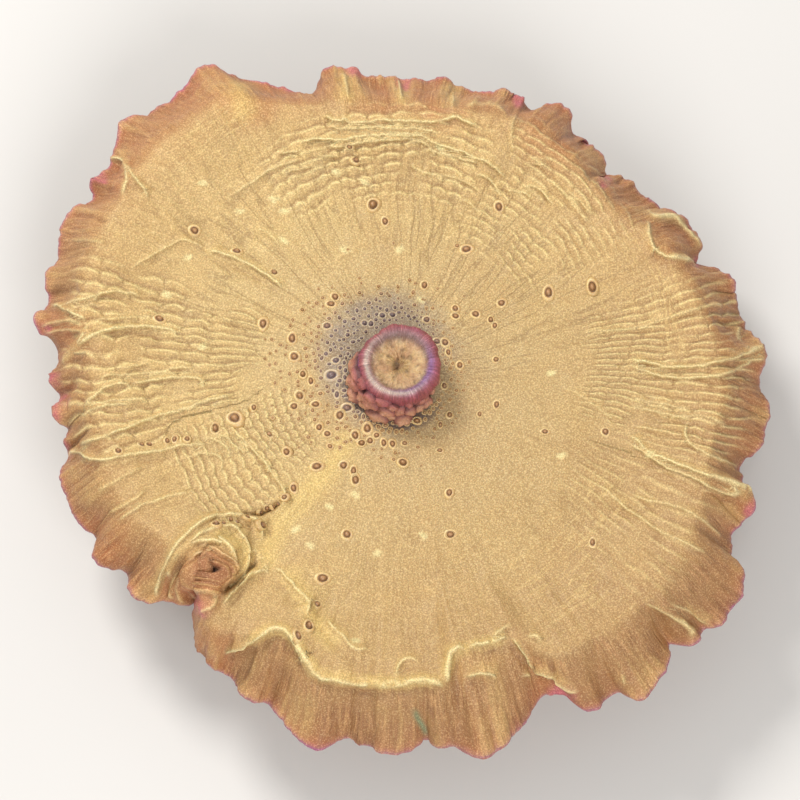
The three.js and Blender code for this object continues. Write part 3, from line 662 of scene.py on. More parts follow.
def hand_placed_folds(across, up):
    """Height of the listed folds at points as seen, with the distance to the nearest fold's crest (its
    sign says which side) and how strongly that crest shows."""
    raised = np.zeros(across.shape)
    sunk = np.zeros(across.shape)
    crest_gap = np.full(across.shape, CREST_REACH)
    second_gap = np.full(across.shape, CREST_REACH)
    crest_show = np.zeros(across.shape)
    for number, (height, half_width, pixels) in enumerate(FOLDS):
        line = rounded([from_pixel(*pixel) for pixel in pixels])
        room = 3.5 * half_width
        low = line.min(0) - room
        high = line.max(0) + room
        near = (across > low[0]) & (across < high[0]) & (up > low[1]) & (up < high[1])
        if not near.any():
            continue
        gap, side, along, length = line_distance(across[near], up[near], line)
        taper = smoothstep(0, 0.9, along) * smoothstep(0, 0.9, length - along)
        step = along / CREST_SCALLOP_LENGTH + 0.5 * noise_along(along / 2.0, 400 + number)
        scallop = CREST_SCALLOP * taper * (np.abs(np.cos(math.pi * step)) - 0.6)
        signed = side * gap - scallop
        gap = np.abs(signed)
        side = np.sign(signed)
        beading = 1 + 0.35 * noise_along(along / 1.1, 300 + number)
        width = half_width * (1 + 0.25 * noise_along(along / 1.7, 500 + number, lane=0.3))
        ridge = np.exp(-((gap / width) ** 2))
        leeward = 0.5 - 0.5 * np.tanh(side * gap / (0.5 * width))
        shoulder = 0.4 * np.exp(-((gap / (2.6 * width)) ** 2)) * (1 - leeward)
        groove = 0.4 * np.exp(-(((gap - 2.0 * width) / (0.9 * width)) ** 2)) * leeward
        if height > 0:
            scale = FOLD_DEPTH * height * beading * taper
            raised[near] = np.maximum(raised[near], scale * (0.75 * ridge + shoulder))
            sunk[near] = np.minimum(sunk[near], -scale * groove)
            reach = gap / (0.65 + 0.9 * height)
            nearest = np.abs(crest_gap[near])
            closer = reach < nearest
            second_gap[near] = np.where(closer, nearest, np.minimum(second_gap[near], reach))
            show = smoothstep(0.1, 0.6, height) * taper * beading * (1 - smoothstep(0.35, 0.6, gap))
            crest_gap[near] = np.where(closer, np.where(side > 0, reach, -reach), crest_gap[near])
            crest_show[near] = np.where(closer, show, crest_show[near])
        else:
            sunk[near] = np.minimum(sunk[near], height * taper * ridge)
    crest_show = crest_show * smoothstep(0.02, 0.22, second_gap - np.abs(crest_gap))
    return raised + sunk, crest_gap, crest_show


def row_jitter(row):
    """A different start for the beads of every row. The finish works it out the same way."""
    return (np.sin(row * JITTER_RATE) * JITTER_SIZE) % 1


def bead_shape(row, bead, bulge):
    """Height from 0 to 1 of the beads of scalloped rows."""
    border = np.floor(row + 0.5)
    past = row - border - bulge * np.cos(2 * math.pi * (bead + row_jitter(border)))
    in_row = past % 1
    in_bead = (bead + row_jitter(border + (past > 0)) + 0.5) % 1
    across_row = 1 - (2 * in_row - 1) ** 2
    along_row = 1 - np.abs(2 * in_bead - 1) ** 3
    return across_row * (0.45 + 0.55 * along_row)


def beaded_wrinkles(across, up):
    """Height of the beaded wrinkles at points as seen, with the row and bead that each point is in,
    how far the beads bulge and how strongly they show."""
    distance = np.hypot(across, up)
    turn = np.degrees(np.arctan2(up, across))
    total = np.zeros(across.shape)
    rows_at = np.zeros(across.shape)
    beads_at = np.zeros(across.shape)
    bulges_at = np.zeros(across.shape)
    shown = np.zeros(across.shape)
    warp = 0.55 * layered(across / 7.5, up / 7.5, 31, 2)
    drift = 0.45 * layered(across / 5.0, up / 5.0, 35, 2)
    patchy = smoothstep(-0.95, 0.0, layered(across / 4.5, up / 4.5, 41))
    for number, patch in enumerate(WRINKLE_PATCHES):
        middle, half, inner, outer, row_width, bead_length, height, bulge, runs = patch
        off = degrees_off(turn, middle)
        angular = 1 - smoothstep(0.4 * half, half, np.abs(off))
        radial = smoothstep(inner - 2, inner + 3, distance)
        radial = radial * (1 - smoothstep(outer - 3, outer + 1.5, distance))
        sideways = np.radians(off) * 0.5 * (inner + outer)
        if runs == "round":
            uphill = np.sign(math.sin(math.radians(middle)))
            rows_over, beads_along = uphill * distance, sideways
        else:
            uphill = np.sign(math.cos(math.radians(middle)))
            rows_over, beads_along = uphill * sideways, distance
        row = rows_over / row_width + warp + 0.17 * number
        along = beads_along / bead_length + drift
        strength = angular * radial * patchy
        total = total + height * strength * (bead_shape(row, along, bulge) - 0.45)
        show = strength * smoothstep(0.05, 0.30, height)
        most = show > shown
        rows_at = np.where(most, row, rows_at)
        beads_at = np.where(most, along, beads_at)
        bulges_at = np.where(most, bulge, bulges_at)
        shown = np.where(most, show, np.maximum(shown - show, 0))
    return total, rows_at, beads_at, bulges_at, shown


def rib_height(ring, turn):
    """Fine ribs that run outwards and split in two on the way."""
    wobble = 0.35 * noise_round(turn, 40, ring * 2.2, 51)
    height = 0
    for count, low, high, amount in RIBS:
        wave = np.cos(turn * count + wobble * 6)
        strength = 0.55 + 0.45 * noise_round(turn, 60, ring * 3, 51 + count)
        height = height + amount * smoothstep(low, high, ring) * strength * wave
    return height


def skirt_height(ring, turn):
    """Pleats of the skirt, which grow towards the margin."""
    fall = np.clip(ring - 0.9, 0, None) / 1.1
    broad = noise_round(turn, 46, ring * 0.6, 61)
    pleats = noise_round(turn, 104, ring * 1.1, 62)
    fine = noise_round(turn, 230, ring * 1.6, 63)
    cross = noise_round(turn, 70, ring * 9, 64)
    creased = 0.5 - np.abs(noise_round(turn, 62, ring * 0.7, 65))
    heights = 0.6 * broad + 0.42 * pleats + 0.2 * fine + 0.45 * creased
    return 1.3 * fall ** 1.1 * heights + 0.10 * smoothstep(0.8, 1.2, ring) * cross


def pleats_at(points, ring):
    """The skirt's pleats at points of the disc, smoothed away round the knob."""
    turn = np.arctan2(points[..., 1], points[..., 0])
    near_knob = spots(*as_seen(points), [(*KNOB_PIXEL, 44)])
    return skirt_height(ring, turn) * (1 - 0.85 * near_knob)


def hole_amount(across, up):
    """The tilted slit in the knob's top."""
    off_across, off_up = off_pixel(HOLE_PIXEL, across, up)
    slit = np.hypot(off_across * 0.8, (off_up - 0.45 * off_across) * 1.5)
    return 1 - smoothstep(0.45 * HOLE_RADIUS, HOLE_RADIUS, slit)


def from_hole(across, up):
    """Uneven distance from the knob's hole."""
    off_across, off_up = off_pixel(HOLE_PIXEL, across, up)
    turn = np.arctan2(off_up, off_across)
    uneven = 1 + 0.12 * noise_round(turn, 5, 0.4, 97) + 0.05 * noise_round(turn, 13, 0.4, 98)
    return np.hypot(off_across * 0.9, off_up) * uneven


def from_knob(across, up):
    """Distance from the knob's middle."""
    return np.hypot(*off_pixel(KNOB_PIXEL, across, up))


def knob_height(across, up):
    """The rolled knob: a mound with a low cone on it and a slit in the top."""
    mound = KNOB_RISE * (1 - smoothstep(0.3 * KNOB_SPREAD, 1.35 * KNOB_SPREAD, from_knob(across, up)))
    out = from_hole(across, up)
    bowl = -0.4 * smoothstep(1.6, 2.6, out) * (1 - smoothstep(2.8, 3.8, out))
    cone = 0.8 * (1 - smoothstep(0.4, 2.6, out))
    return mound + bowl + cone - HOLE_DEPTH * hole_amount(across, up)


def knob_shells(across, up):
    """Fine terraces round the knob's hole, like nested shells."""
    out = from_hole(across, up)
    terraces = np.cos(2 * math.pi * out / 0.55 + 0.8)
    return 0.09 * terraces * smoothstep(0.7, 1.1, out) * (1 - smoothstep(2.2, 3.0, out))


def mouth_tints(points, share):
    """Violet and pale places on the lip, as seen."""
    across, up = as_seen(points)
    turn = np.degrees(np.arctan2(up, across))

    def towards(middle, half):
        return 1 - smoothstep(0.3 * half, half, np.abs(degrees_off(turn, middle)))

    def band(middle, half):
        return np.exp(-(((share - middle) / half) ** 2))

    outer_rim = band(0.40, 0.07) * towards(170, 75)
    inner_band = 0.8 * band(0.63, 0.045) * towards(-38, 95)
    return {
        "violet": np.maximum(outer_rim, inner_band),
        "pale": band(0.605, 0.03) * towards(222, 125),
        "mauve": band(0.66, 0.05) * towards(85, 95),
    }


def painted_mouth_shade_amount(across, up):
    """Painted blue-grey shade of the disc close round the mouth, most on its upper left."""
    away = np.hypot(across, up + 0.4)
    turn = np.arctan2(up + 0.4, across)
    leftness = 0.5 + 0.5 * np.cos(turn - math.radians(148))
    far = 6.4 + 3.0 * leftness
    uneven = 0.75 + 0.5 * noise(across / 1.4, up / 1.4, 95)
    return (0.12 + 0.88 * leftness) * (1 - smoothstep(0.75 * far, 1.1 * far, away)) * uneven


def painted_contact_shadow(across, up):
    """Painted shadow: a dark line where the cone meets the disc, on its near side."""
    away = np.hypot(across + 0.35, up + 1.45)
    turn = np.degrees(np.arctan2(up + 1.2, across + 0.4))
    near_side = 1 - smoothstep(45, 95, np.abs(degrees_off(turn, -110)))
    return near_side * (1 - smoothstep(5.75, 6.6, away))


def spots(across, up, table):
    """A mask of soft round spots: each row is across, down and radius in pixels."""
    total = np.zeros(across.shape)
    for *pixel, radius in table:
        gap = np.hypot(*off_pixel(pixel, across, up)) / (radius * PIXEL)
        total = np.maximum(total, 1 - smoothstep(0.45, 1.15, gap))
    return total


def rust_amount(across, up, ring, turn):
    """Where the margin is a deeper orange: all along the far side, and in single lobes."""
    far = smoothstep(-0.25, 0.6, np.sin(turn + 0.5)) * smoothstep(0.86, 1.3, ring)
    lobes = spots(across, up, RUST_PATCHES)
    return np.maximum(0.75 * far, lobes) * (0.75 + 0.35 * noise(across / 2.5, up / 2.5, 99))


def bands(across, up, table):
    """A mask of soft bands: each row is the half width in millimetres and the middle line in pixels."""
    total = np.zeros(across.shape)
    for half_width, pixels in table:
        line = rounded([from_pixel(*pixel) for pixel in pixels])
        gap, _, along, length = line_distance(across, up, line)
        fade = min(2.0, 0.3 * length)
        ends = smoothstep(0, fade, along) * smoothstep(0, fade, length - along)
        total = np.maximum(total, np.exp(-((gap / half_width) ** 2)) * ends)
    return total


def knob_colour(across, up):
    """How far a point is in the orange funnel of the knob."""
    off_across, off_up = off_pixel(HOLE_PIXEL, across, up)
    return 1 - smoothstep(0.9, 3.4, np.hypot(off_across * 0.9, off_up))


def painted_shade_amount(across, up, ring, turn):
    """Painted shade: darker towards the near right, on the near left skirt and on one lobe."""
    near_right = smoothstep(-16, 38, 0.8 * across - 0.5 * up)
    near_left = smoothstep(0, 0.7, np.cos(turn - math.radians(225))) * smoothstep(0.85, 1.2, ring)
    return np.maximum(near_right, np.maximum(near_left, spots(across, up, SHADED_LOBES)))


def fleck_and_glint_amount(points):
    """Small pale oval flecks, two of them painted glints, each leaning its own way."""
    across, up = as_seen(points)
    total = np.zeros(across.shape)
    for number, pixel in enumerate(FLECKS_AND_GLINTS):
        off_across, off_up = off_pixel(pixel, across, up)
        lean = 0.6 * math.sin(2.7 * number)
        along = off_across * math.cos(lean) + off_up * math.sin(lean)
        over = off_up * math.cos(lean) - off_across * math.sin(lean)
        gap = np.hypot(along / FLECK_SIZE[0], over / FLECK_SIZE[1])
        total = np.maximum(total, 1 - smoothstep(0.6, 1.1, gap))
    return total


def upper_detail(points, ring):
    """Height of all the relief on the disc, and the values that its finish needs."""
    across, up = as_seen(points)
    turn = np.arctan2(points[..., 1], points[..., 0])
    far = smoothstep(MOUTH_RING, MOUTH_RING + 0.12, ring)
    folds, crest_gap, crest_show = hand_placed_folds(across, up)
    beads, row, bead, bulge, beaded = beaded_wrinkles(across, up)
    calm = 1 - 0.7 * smoothstep(0.1, 0.3, np.abs(folds))
    beads = beads * calm
    ribs = rib_height(ring, turn)
    swell = 0.28 * layered(across / 9, up / 9, 71, 2) * smoothstep(0.3, 0.6, ring)
    small = 0.06 * layered(across / 1.3, up / 1.3, 75, 2) * far
    relief = folds + beads + ribs
    skirt = pleats_at(points, ring)
    shells = knob_shells(across, up)
    height = far * (relief + swell + skirt + knob_height(across, up) + shells) + small
    values = {
        "relief": relief + 0.55 * skirt + 2.5 * shells,
        "crest_gap": crest_gap,
        "crest_show": crest_show * far,
        "row": row,
        "bead": bead,
        "bulge": bulge,
        "beaded": beaded * calm * far,
        "knob": knob_colour(across, up),
        "calm": spots(across, up, [(*KNOB_PIXEL, 58)]),
        # painted shade towards the near right, on the near left skirt and on one lobe
        "tone": painted_shade_amount(across, up, ring, turn),
        "spokes": 0.3 + 0.7 * smoothstep(-0.4, 0.4, np.sin(turn)),
        # painted blue-grey shade close round the mouth
        "painted_mouth_shade": painted_mouth_shade_amount(across, up),
        # painted shadow where the cone meets the disc, and painted shade in the knob's slit
        "painted_contact_shade": np.maximum(painted_contact_shadow(across, up), hole_amount(across, up)),
        "rust": rust_amount(across, up, ring, turn),
        "pink": spots(across, up, PINK_PATCHES) * smoothstep(0.9, 1.2, ring),
        "pale_skin_and_highlight": bands(across, up, PALE_BANDS),
        "green": bands(across, up, GREEN_BANDS),
    }
    return height, values


def cone_detail(points, share):
    """Crumpled skin low on the mouth cone and in its gullet, and fine grain over the rest of it."""
    across, up = as_seen(points)
    crumpled = 0.16 * layered(across / 0.9, up / 0.9, 83, 2) * (1 - smoothstep(0.25, 0.42, share))
    grain = 0.05 * layered(across / 0.4, up / 0.4, 81, 2) * (1 - smoothstep(0.5, 0.7, share))
    gullet = 0.11 * layered(across / 0.7, up / 0.7, 85, 3) * smoothstep(0.66, 0.74, share)
    return crumpled + grain + gullet


class Skin:
    """Vertices, faces and per-vertex values of a mesh, grown row by row."""

    def __init__(self, names):
        self.points = []
        self.faces = []
        self.values = {name: [] for name in names}
        self.count = 0

    def row(self, points, **values):
        """A row of points with their values, as vertex numbers."""
        numbers = np.arange(self.count, self.count + len(points))
        self.points.append(points)
        for name, store in self.values.items():
            store.append(np.broadcast_to(np.asarray(values.get(name, 0.0), float), (len(points),)))
        self.count += len(points)
        return numbers

    def join(self, inner, outer):
        """Faces between two rows, where the second may have as many points or twice or half as many."""
        if len(inner) == len(outer):
            after_in = np.roll(inner, -1)
            after_out = np.roll(outer, -1)
            self.faces += np.stack([inner, outer, after_out, after_in], 1).tolist()
        elif len(outer) == 2 * len(inner):
            after_in = np.roll(inner, -1)
            first = outer[0::2]
            middle = outer[1::2]
            last = np.roll(first, -1)
            self.faces += np.stack([inner, first, middle], 1).tolist()
            self.faces += np.stack([inner, middle, after_in], 1).tolist()
            self.faces += np.stack([middle, last, after_in], 1).tolist()
        else:
            after_out = np.roll(outer, -1)
            first = inner[0::2]
            middle = inner[1::2]
            last = np.roll(first, -1)
            self.faces += np.stack([first, outer, middle], 1).tolist()
            self.faces += np.stack([outer, after_out, middle], 1).tolist()
            self.faces += np.stack([after_out, last, middle], 1).tolist()

    def cap(self, edge, point, first=False, **values):
        """Closes the first or the last row with a fan to one point."""
        tip = self.row(np.array([point]), **values)[0]
        for here, beside in zip(edge, np.roll(edge, -1)):
            self.faces.append([tip, here, beside] if first else [tip, beside, here])

    def follow(self, last, row, start, start_values):
        """Joins a row to the last one. The very first row is closed with a fan to the start instead."""
        if last is None:
            self.cap(row, start, first=True, **start_values)
        else:
            self.join(last, row)
        return row

    def mesh(self, name):
        """The mesh in metres, in the part's own frame, with its values as attributes."""
        mesh = bpy.data.meshes.new(name)
        points = (np.vstack(self.points) + (*MOUTH_AXIS, 0.0)) * MM
        mesh.from_pydata(points.tolist(), [], self.faces)
        for value_name, store in self.values.items():
            attribute = mesh.attributes.new(value_name, "FLOAT", "POINT")
            attribute.data.foreach_set("value", np.concatenate(store).astype(np.float32))
        mesh.polygons.foreach_set("use_smooth", np.ones(len(mesh.polygons), bool))
        mesh.update()
        return mesh


def ring_and_angle(across, up):
    """Where on the smooth disc, as ring and outline angle, points as seen are."""
    ring = np.ones(across.shape)
    angle = np.arctan2(up, across)
    step = 1e-3

    def crossed(first, second):
        return first[0] * second[1] - first[1] * second[0]

    for _ in range(FINDING_STEPS):
        here = as_seen(disc_place(ring, angle))
        farther = as_seen(disc_place(ring + step, angle))
        turned = as_seen(disc_place(ring, angle + step))
        outwards = [(end - start) / step for start, end in zip(here, farther)]
        sideways = [(end - start) / step for start, end in zip(here, turned)]
        miss = (across - here[0], up - here[1])
        whole = crossed(outwards, sideways)
        ring = ring + np.clip(crossed(miss, sideways) / whole, -0.15, 0.15)
        angle = angle + np.clip(crossed(outwards, miss) / whole, -0.1, 0.1)
    return ring, angle


def turn_angles(columns):
    """Even angles all the way round."""
    return np.arange(columns) * 2 * math.pi / columns


def closer_angles(columns):
    """The angles of a row of the disc, closer together towards the knob."""
    fine = np.arange(0, 360, 0.1)
    crowding = 1 + CLOSER_AMOUNT * np.exp(-(((fine - CLOSER_ANGLE) / CLOSER_SPREAD) ** 2))
    walked = np.concatenate([[0], np.cumsum(crowding)])
    even = np.arange(columns) / columns * walked[-1]
    return np.radians(np.interp(even, walked, np.append(fine, 360)))


def spaced(start, end, steps):
    """Even steps that leave out the end."""
    return list(np.linspace(start, end, steps, endpoint=False))


def one_row(values, number):
    """The values of one row of points."""
    return {name: value[number] for name, value in values.items()}


def add_cone(skin):
    """The cone itself, from the middle of the gullet over the lip and down into the flesh."""
    angles = turn_angles(MOUTH_COLUMNS)
    shares = np.array(spaced(0.985, 0.9, 5) + spaced(0.9, 0.5, 30) + spaced(0.5, 0.0, 32))
    points, normals = surface(mouth_place, shares[:, None], angles[None])
    detail = cone_detail(points, shares[:, None])
    placed = points - normals * detail[..., None]
    tints = mouth_tints(points, shares[:, None])
    last = None
    for number, share in enumerate(shares):
        row = skin.row(placed[number], share=share, relief=detail[number], **one_row(tints, number))
        last = skin.follow(last, row, placed[number].mean(0), {"share": 1.0})
    skin.cap(last, (*FOOT_SHIFT, MOUTH_PROFILE[0][1]))


def add_lump(skin, number, degrees, height, radius):
    """One bulge low on the cone: a crumpled ball, wider than it is tall."""
    angles = turn_angles(LUMP_SIDES)
    turn = math.radians(degrees + 3 * math.sin(4.1 * number))
    outward = np.array([math.cos(turn), math.sin(turn), 0.25])
    sideways = np.array([-math.sin(turn), math.cos(turn), 0.3 * math.sin(2.3 * number)])
    upward = np.cross(outward, sideways)
    low = (MOUTH_TOP - height) / (MOUTH_TOP - DISC_FLOOR)
    reach = LUMP_REACH + LUMP_SPREAD * low + 0.2 * math.sin(2.9 * number)
    x = reach * math.cos(turn) + FOOT_SHIFT[0] * low
    y = reach * math.sin(turn) + FOOT_SHIFT[1] * low
    middle = np.array([x, y, height])
    stretch = 1.25 + 0.25 * math.sin(1.7 * number)
    # lower bulges take the foot's darker colours, partly painted shade
    shade = 0.40 - 0.34 * low + 0.04 * math.sin(3.1 * number)
    last = None
    for step in range(1, LUMP_ROWS):
        tilt = math.pi * step / LUMP_ROWS
        crumple = 1 + 0.28 * noise_round(angles, 4, 1.8 * tilt, 700 + number)
        crumple = crumple + 0.13 * noise_round(angles, 9, 4.0 * tilt, 800 + number)
        flat = radius * math.sin(tilt) * crumple
        ring = middle + (radius * math.cos(tilt) * crumple)[:, None] * outward
        ring = ring + (flat * np.cos(angles) * stretch)[:, None] * sideways
        ring = ring + (flat * np.sin(angles))[:, None] * upward
        row = skin.row(ring, share=shade, lump=0.5 + 0.5 * math.cos(tilt))
        last = skin.follow(last, row, middle + radius * outward, {"share": shade, "lump": 1.0})
    skin.cap(last, middle - radius * outward, share=shade)


def grow_mouth():
    """The mouth cone with the bulges round its foot, each closed inside the flesh."""
    skin = Skin(MOUTH_VALUES)
    add_cone(skin)
    for number, lump in enumerate(CONE_LUMPS):
        add_lump(skin, number, *lump)
    return skin


def below_knob(points):
    """How far the disc is sunk where the knob's own mesh covers it."""
    away = from_knob(*as_seen(points))
    return DISC_TUCK * (1 - smoothstep(0.72 * KNOB_REACH, 0.88 * KNOB_REACH, away))


def grow_knob():
    """The top of the rolled knob on its own finer mesh, closed inside the flesh."""
    skin = Skin(DISC_VALUES)
    knob_across, knob_up = from_pixel(*KNOB_PIXEL)
    angles = turn_angles(KNOB_COLUMNS)[None]
    away = np.linspace(0.05, KNOB_REACH, KNOB_ROWS)[:, None]
    ring, angle = ring_and_angle(knob_across + away * np.cos(angles), knob_up + away * np.sin(angles))
    points, normals = surface(disc_place, ring, angle)
    height, values = upper_detail(points, ring)
    values["ring"] = ring
    height = height - KNOB_TUCK * smoothstep(0.88, 1.0, away / KNOB_REACH)
    placed = points + normals * height[..., None]
    last = None
    for number in range(KNOB_ROWS):
        here = one_row(values, number)
        row = skin.row(placed[number], **here)
        start_values = {name: value.mean() for name, value in here.items()}
        last = skin.follow(last, row, placed[number].mean(0), start_values)
    skin.cap(last, placed[-1].mean(0), ring=1.0)
    return skin


def add_upper_side(skin):
    """The disc out to the margin. Gives its last row, all of its outer zone's points, and the last
    row's outward directions."""
    zones = [
        (COARSE_COLUMNS, spaced(0.04, MOUTH_RING, 3) + spaced(MOUTH_RING, ROUND_RING, 24)),
        (MIDDLE_COLUMNS, spaced(ROUND_RING, 0.78, 40)),
        (FINE_COLUMNS, spaced(0.78, 1.0, 29) + spaced(1.0, 2.0, 18) + [2.0]),
    ]
    last = None
    for columns, rings in zones:
        at = np.array(rings)[:, None]
        angles = closer_angles(columns)[None]
        points, normals = surface(disc_place, at, angles)
        height, values = upper_detail(points, at + 0 * angles)
        values["fleck_and_glint"] = fleck_and_glint_amount(points)
        placed = points + normals * (height - below_knob(points))[..., None]
        for number, ring in enumerate(rings):
            row = skin.row(placed[number], ring=ring, **one_row(values, number))
            last = skin.follow(last, row, placed[0].mean(0), {"ring": ring})
    return last, placed, normals[-1]


def add_edge(skin, last, placed, upward):
    """The rounded edge of the margin, over to the underside."""
    outward = placed[-1] - placed[-3]
    outward /= np.linalg.norm(outward, axis=-1, keepdims=True)
    half = THICK_MARGIN / 2
    middle = placed[-1] - upward * half
    for degrees in (30, 62, 94, 126, 158):
        turn = math.radians(degrees)
        edge = middle + half * (outward * math.sin(turn) + upward * math.cos(turn))
        row = skin.row(edge, ring=2.0 + 0.03 * math.sin(turn), under=degrees / 360)
        skin.join(last, row)
        last = row
    return last


def add_underside(skin, last):
    """The underside, in to the column, with the skirt's pleats and ribs of its own."""
    zones = [
        (FINE_COLUMNS, [1.985]),
        (MIDDLE_COLUMNS, [1.93, 1.85]),
        (COARSE_COLUMNS, [1.75, 1.6, 1.45, 1.3, 1.18, 1.07, 0.98, 0.9, 0.82, 0.75, 0.68, 0.62]),
    ]
    for columns, rings in zones:
        at = np.array(rings)[:, None]
        points, normals = surface(disc_place, at, closer_angles(columns)[None])
        turn = np.arctan2(points[..., 1], points[..., 0])
        ribs = 0.16 * np.cos(96 * turn + 3 * np.sin(5 * turn)) * (1 - smoothstep(1.7, 1.95, at))
        thick = mix(THICK_MIDDLE, THICK_MARGIN, smoothstep(0.4, 1.3, at))
        height = pleats_at(points, at + 0 * turn) + ribs - thick
        placed = points + normals * height[..., None]
        for number, ring in enumerate(rings):
            row = skin.row(placed[number], ring=ring, relief=-ribs[number], under=0.5)
            skin.join(last, row)
            last = row
    return last, placed[-1]


def add_column(skin, last, inner_edge):
    """The fluted column down to its spreading foot, and the flat cut under it."""
    angles = np.arctan2(inner_edge[:, 1], inner_edge[:, 0])
    uneven = 1 + 0.05 * np.sin(3 * angles + 0.6) + 0.03 * np.sin(7 * angles)
    for share, radius, z in COLUMN_ROWS:
        above_cut = smoothstep(0.2, 2.0, z)
        fluting = 0.28 * np.cos(48 * angles + 2 * np.sin(4 * angles)) * (1 - 0.6 * share) * above_cut
        creases = 0.18 * noise_round(angles, 20, z / 1.1, 91) * above_cut
        out = radius * uneven + fluting + creases
        column = np.stack([out * np.cos(angles), out * np.sin(angles), z + 0 * out], -1)
        row = skin.row(mix(column, inner_edge, share), ring=0.3, relief=fluting, under=0.75)
        skin.join(last, row)
        last = row
    for radius in CUT_RADII:
        out = radius * uneven
        cut = np.stack([out * np.cos(angles), out * np.sin(angles), 0 * out], -1)
        row = skin.row(cut, ring=0.3, under=1.0)
        skin.join(last, row)
        last = row
    skin.cap(last, (0.0, 0.0, 0.0), ring=0.3, under=1.0)


def grow_disc():
    """The disc with its skirt, underside, column and foot."""
    skin = Skin(DISC_VALUES)
    last, placed, upward = add_upper_side(skin)
    last = add_edge(skin, last, placed, upward)
    last, inner_edge = add_underside(skin, last)
    add_column(skin, last, inner_edge)
    return skin


def blister_places():
    """Listed blisters, then seeded tiny ones crowding round the mouth, as seen."""
    places = [(*from_pixel(x, y), radius * PIXEL) for x, y, radius in BLISTERS]
    draw = np.random.default_rng(5)
    while len(places) < len(BLISTERS) + TINY_BLISTERS:
        turn = draw.uniform(0, 2 * math.pi)
        leftness = 0.5 - 0.5 * math.cos(turn - 0.15)
        distance = 4.9 + draw.exponential(0.9 + 1.6 * leftness ** 2)
        if draw.uniform() > 0.15 + 0.85 * leftness ** 2 or distance > 15:
            continue
        across = distance * math.cos(turn)
        up = distance * math.sin(turn) - 0.4
        radius = (draw.uniform(0.15, 0.30) + 0.12 * leftness) * (1 - 0.02 * distance)
        clear = all(math.hypot(across - x, up - y) > 0.9 * (radius + r) for x, y, r in places)
        if clear:
            places.append((across, up, radius))
    return places


def seat_at(tops, across, up, x, y):
    """The disc's mesh under a place as seen: its nearest point and its direction outwards."""
    near = np.argsort((across - x) ** 2 + (up - y) ** 2)[:SEAT_POINTS]
    plane = np.linalg.svd(tops[near] - tops[near].mean(0))[2][2]
    return tops[near[0]], plane if plane[2] > 0 else -plane


def add_blister(skin, number, seat, normal, radius, painted_mouth_shade):
    """One blister, every ninth of them taller, each a little oval in its own way."""
    angles = turn_angles(BLISTER_SIDES)
    side = np.cross(normal, (0.0, 1.0, 0.0))
    side /= np.linalg.norm(side)
    front = np.cross(normal, side)
    tall = 1.9 if (number + 1) % 9 == 0 else 1.15
    stretch = 1 + 0.16 * math.sin(1.3 * number)
    wobble = 1 + 0.06 * np.sin(2 * angles + number) + 0.04 * np.sin(3 * angles + 2 * number)
    round_it = np.cos(angles)[:, None] * side * stretch - np.sin(angles)[:, None] * front / stretch
    shared = {"painted_mouth_shade": painted_mouth_shade, "tiny": float(1 - smoothstep(0.25, 0.5, radius))}
    rim = 0.5 + 0.5 * np.cos(angles - 0.8 * math.sin(5.1 * number))
    below = seat - 0.5 * radius * normal
    last = None
    for width, height, bead in BLISTER_PROFILE:
        upwards = (height * tall - BLISTER_SINK) * normal
        ring = seat + radius * (width * wobble[:, None] * round_it + upwards)
        row = skin.row(ring, bead=bead, rim=rim, **shared)
        last = skin.follow(last, row, below, {"bead": 0.0, **shared})
    top = seat + radius * (BLISTER_TOP * tall - BLISTER_SINK) * normal
    skin.cap(last, top, bead=1.0, **shared)


def grow_blisters(polyp_skin):
    """All the blisters as one mesh, seated on the upper side of the disc's own mesh."""
    upper = np.concatenate(polyp_skin.values["under"]) < 0.05
    tops = np.vstack(polyp_skin.points)[upper]
    across, up = as_seen(tops)
    skin = Skin(BLISTER_VALUES)
    for number, (x, y, radius) in enumerate(blister_places()):
        seat, normal = seat_at(tops, across, up, x, y)
        if math.hypot(seat[0] - FOOT_SHIFT[0], seat[1] - FOOT_SHIFT[1]) < LEAST_FROM_CONE:
            continue
        # painted shade on blisters close to the mouth
        painted_mouth_shade = float(1 - smoothstep(5.5, 8.0, math.hypot(x + 2.2, y - 0.4)))
        add_blister(skin, number, seat, normal, radius, painted_mouth_shade)
    return skin


def piece(name, skin, material):
    """A piece of the coral from a grown skin."""
    mesh = skin.mesh(name)
    mesh.materials.append(material)
    item = bpy.data.objects.new(name, mesh)
    bpy.context.scene.collection.objects.link(item)
    return item


def colour(red, green, blue):
    """A colour read as 0 to 255, in linear light."""
    light = []
    for part in (red, green, blue):
        share = part / 255
        light.append(((share + 0.055) / 1.055) ** 2.4 if part > 10 else share / 12.92)
    return (*light, 1.0)


def put(tree, kind, inputs=None, **settings):
    """Adds a node, sets it up, and links or sets its inputs."""
    made = tree.nodes.new(kind)
    for name, value in settings.items():
        setattr(made, name, value)
    for key, value in (inputs or {}).items():
        if isinstance(value, bpy.types.NodeSocket):
            tree.links.new(value, made.inputs[key])
        else:
            made.inputs[key].default_value = value
    return made


def calc(tree, operation, first, second=0.0, third=0.0):
    """The result of one Math node."""
    return put(tree, "ShaderNodeMath", {0: first, 1: second, 2: third}, operation=operation).outputs[0]


def vector(tree, operation, inputs):
    """The outputs of one Vector Math node."""
    return put(tree, "ShaderNodeVectorMath", inputs, operation=operation).outputs


def times(tree, *factors):
    """The factors multiplied together."""
    product = factors[0]
    for factor in factors[1:]:
        product = calc(tree, "MULTIPLY", product, factor)
    return product


def plus(tree, *terms):
    """The terms added together."""
    total = terms[0]
    for term in terms[1:]:
        total = calc(tree, "ADD", total, term)
    return total


def outside(tree, mask):
    """Where the mask is not."""
    return calc(tree, "SUBTRACT", 1.0, mask)


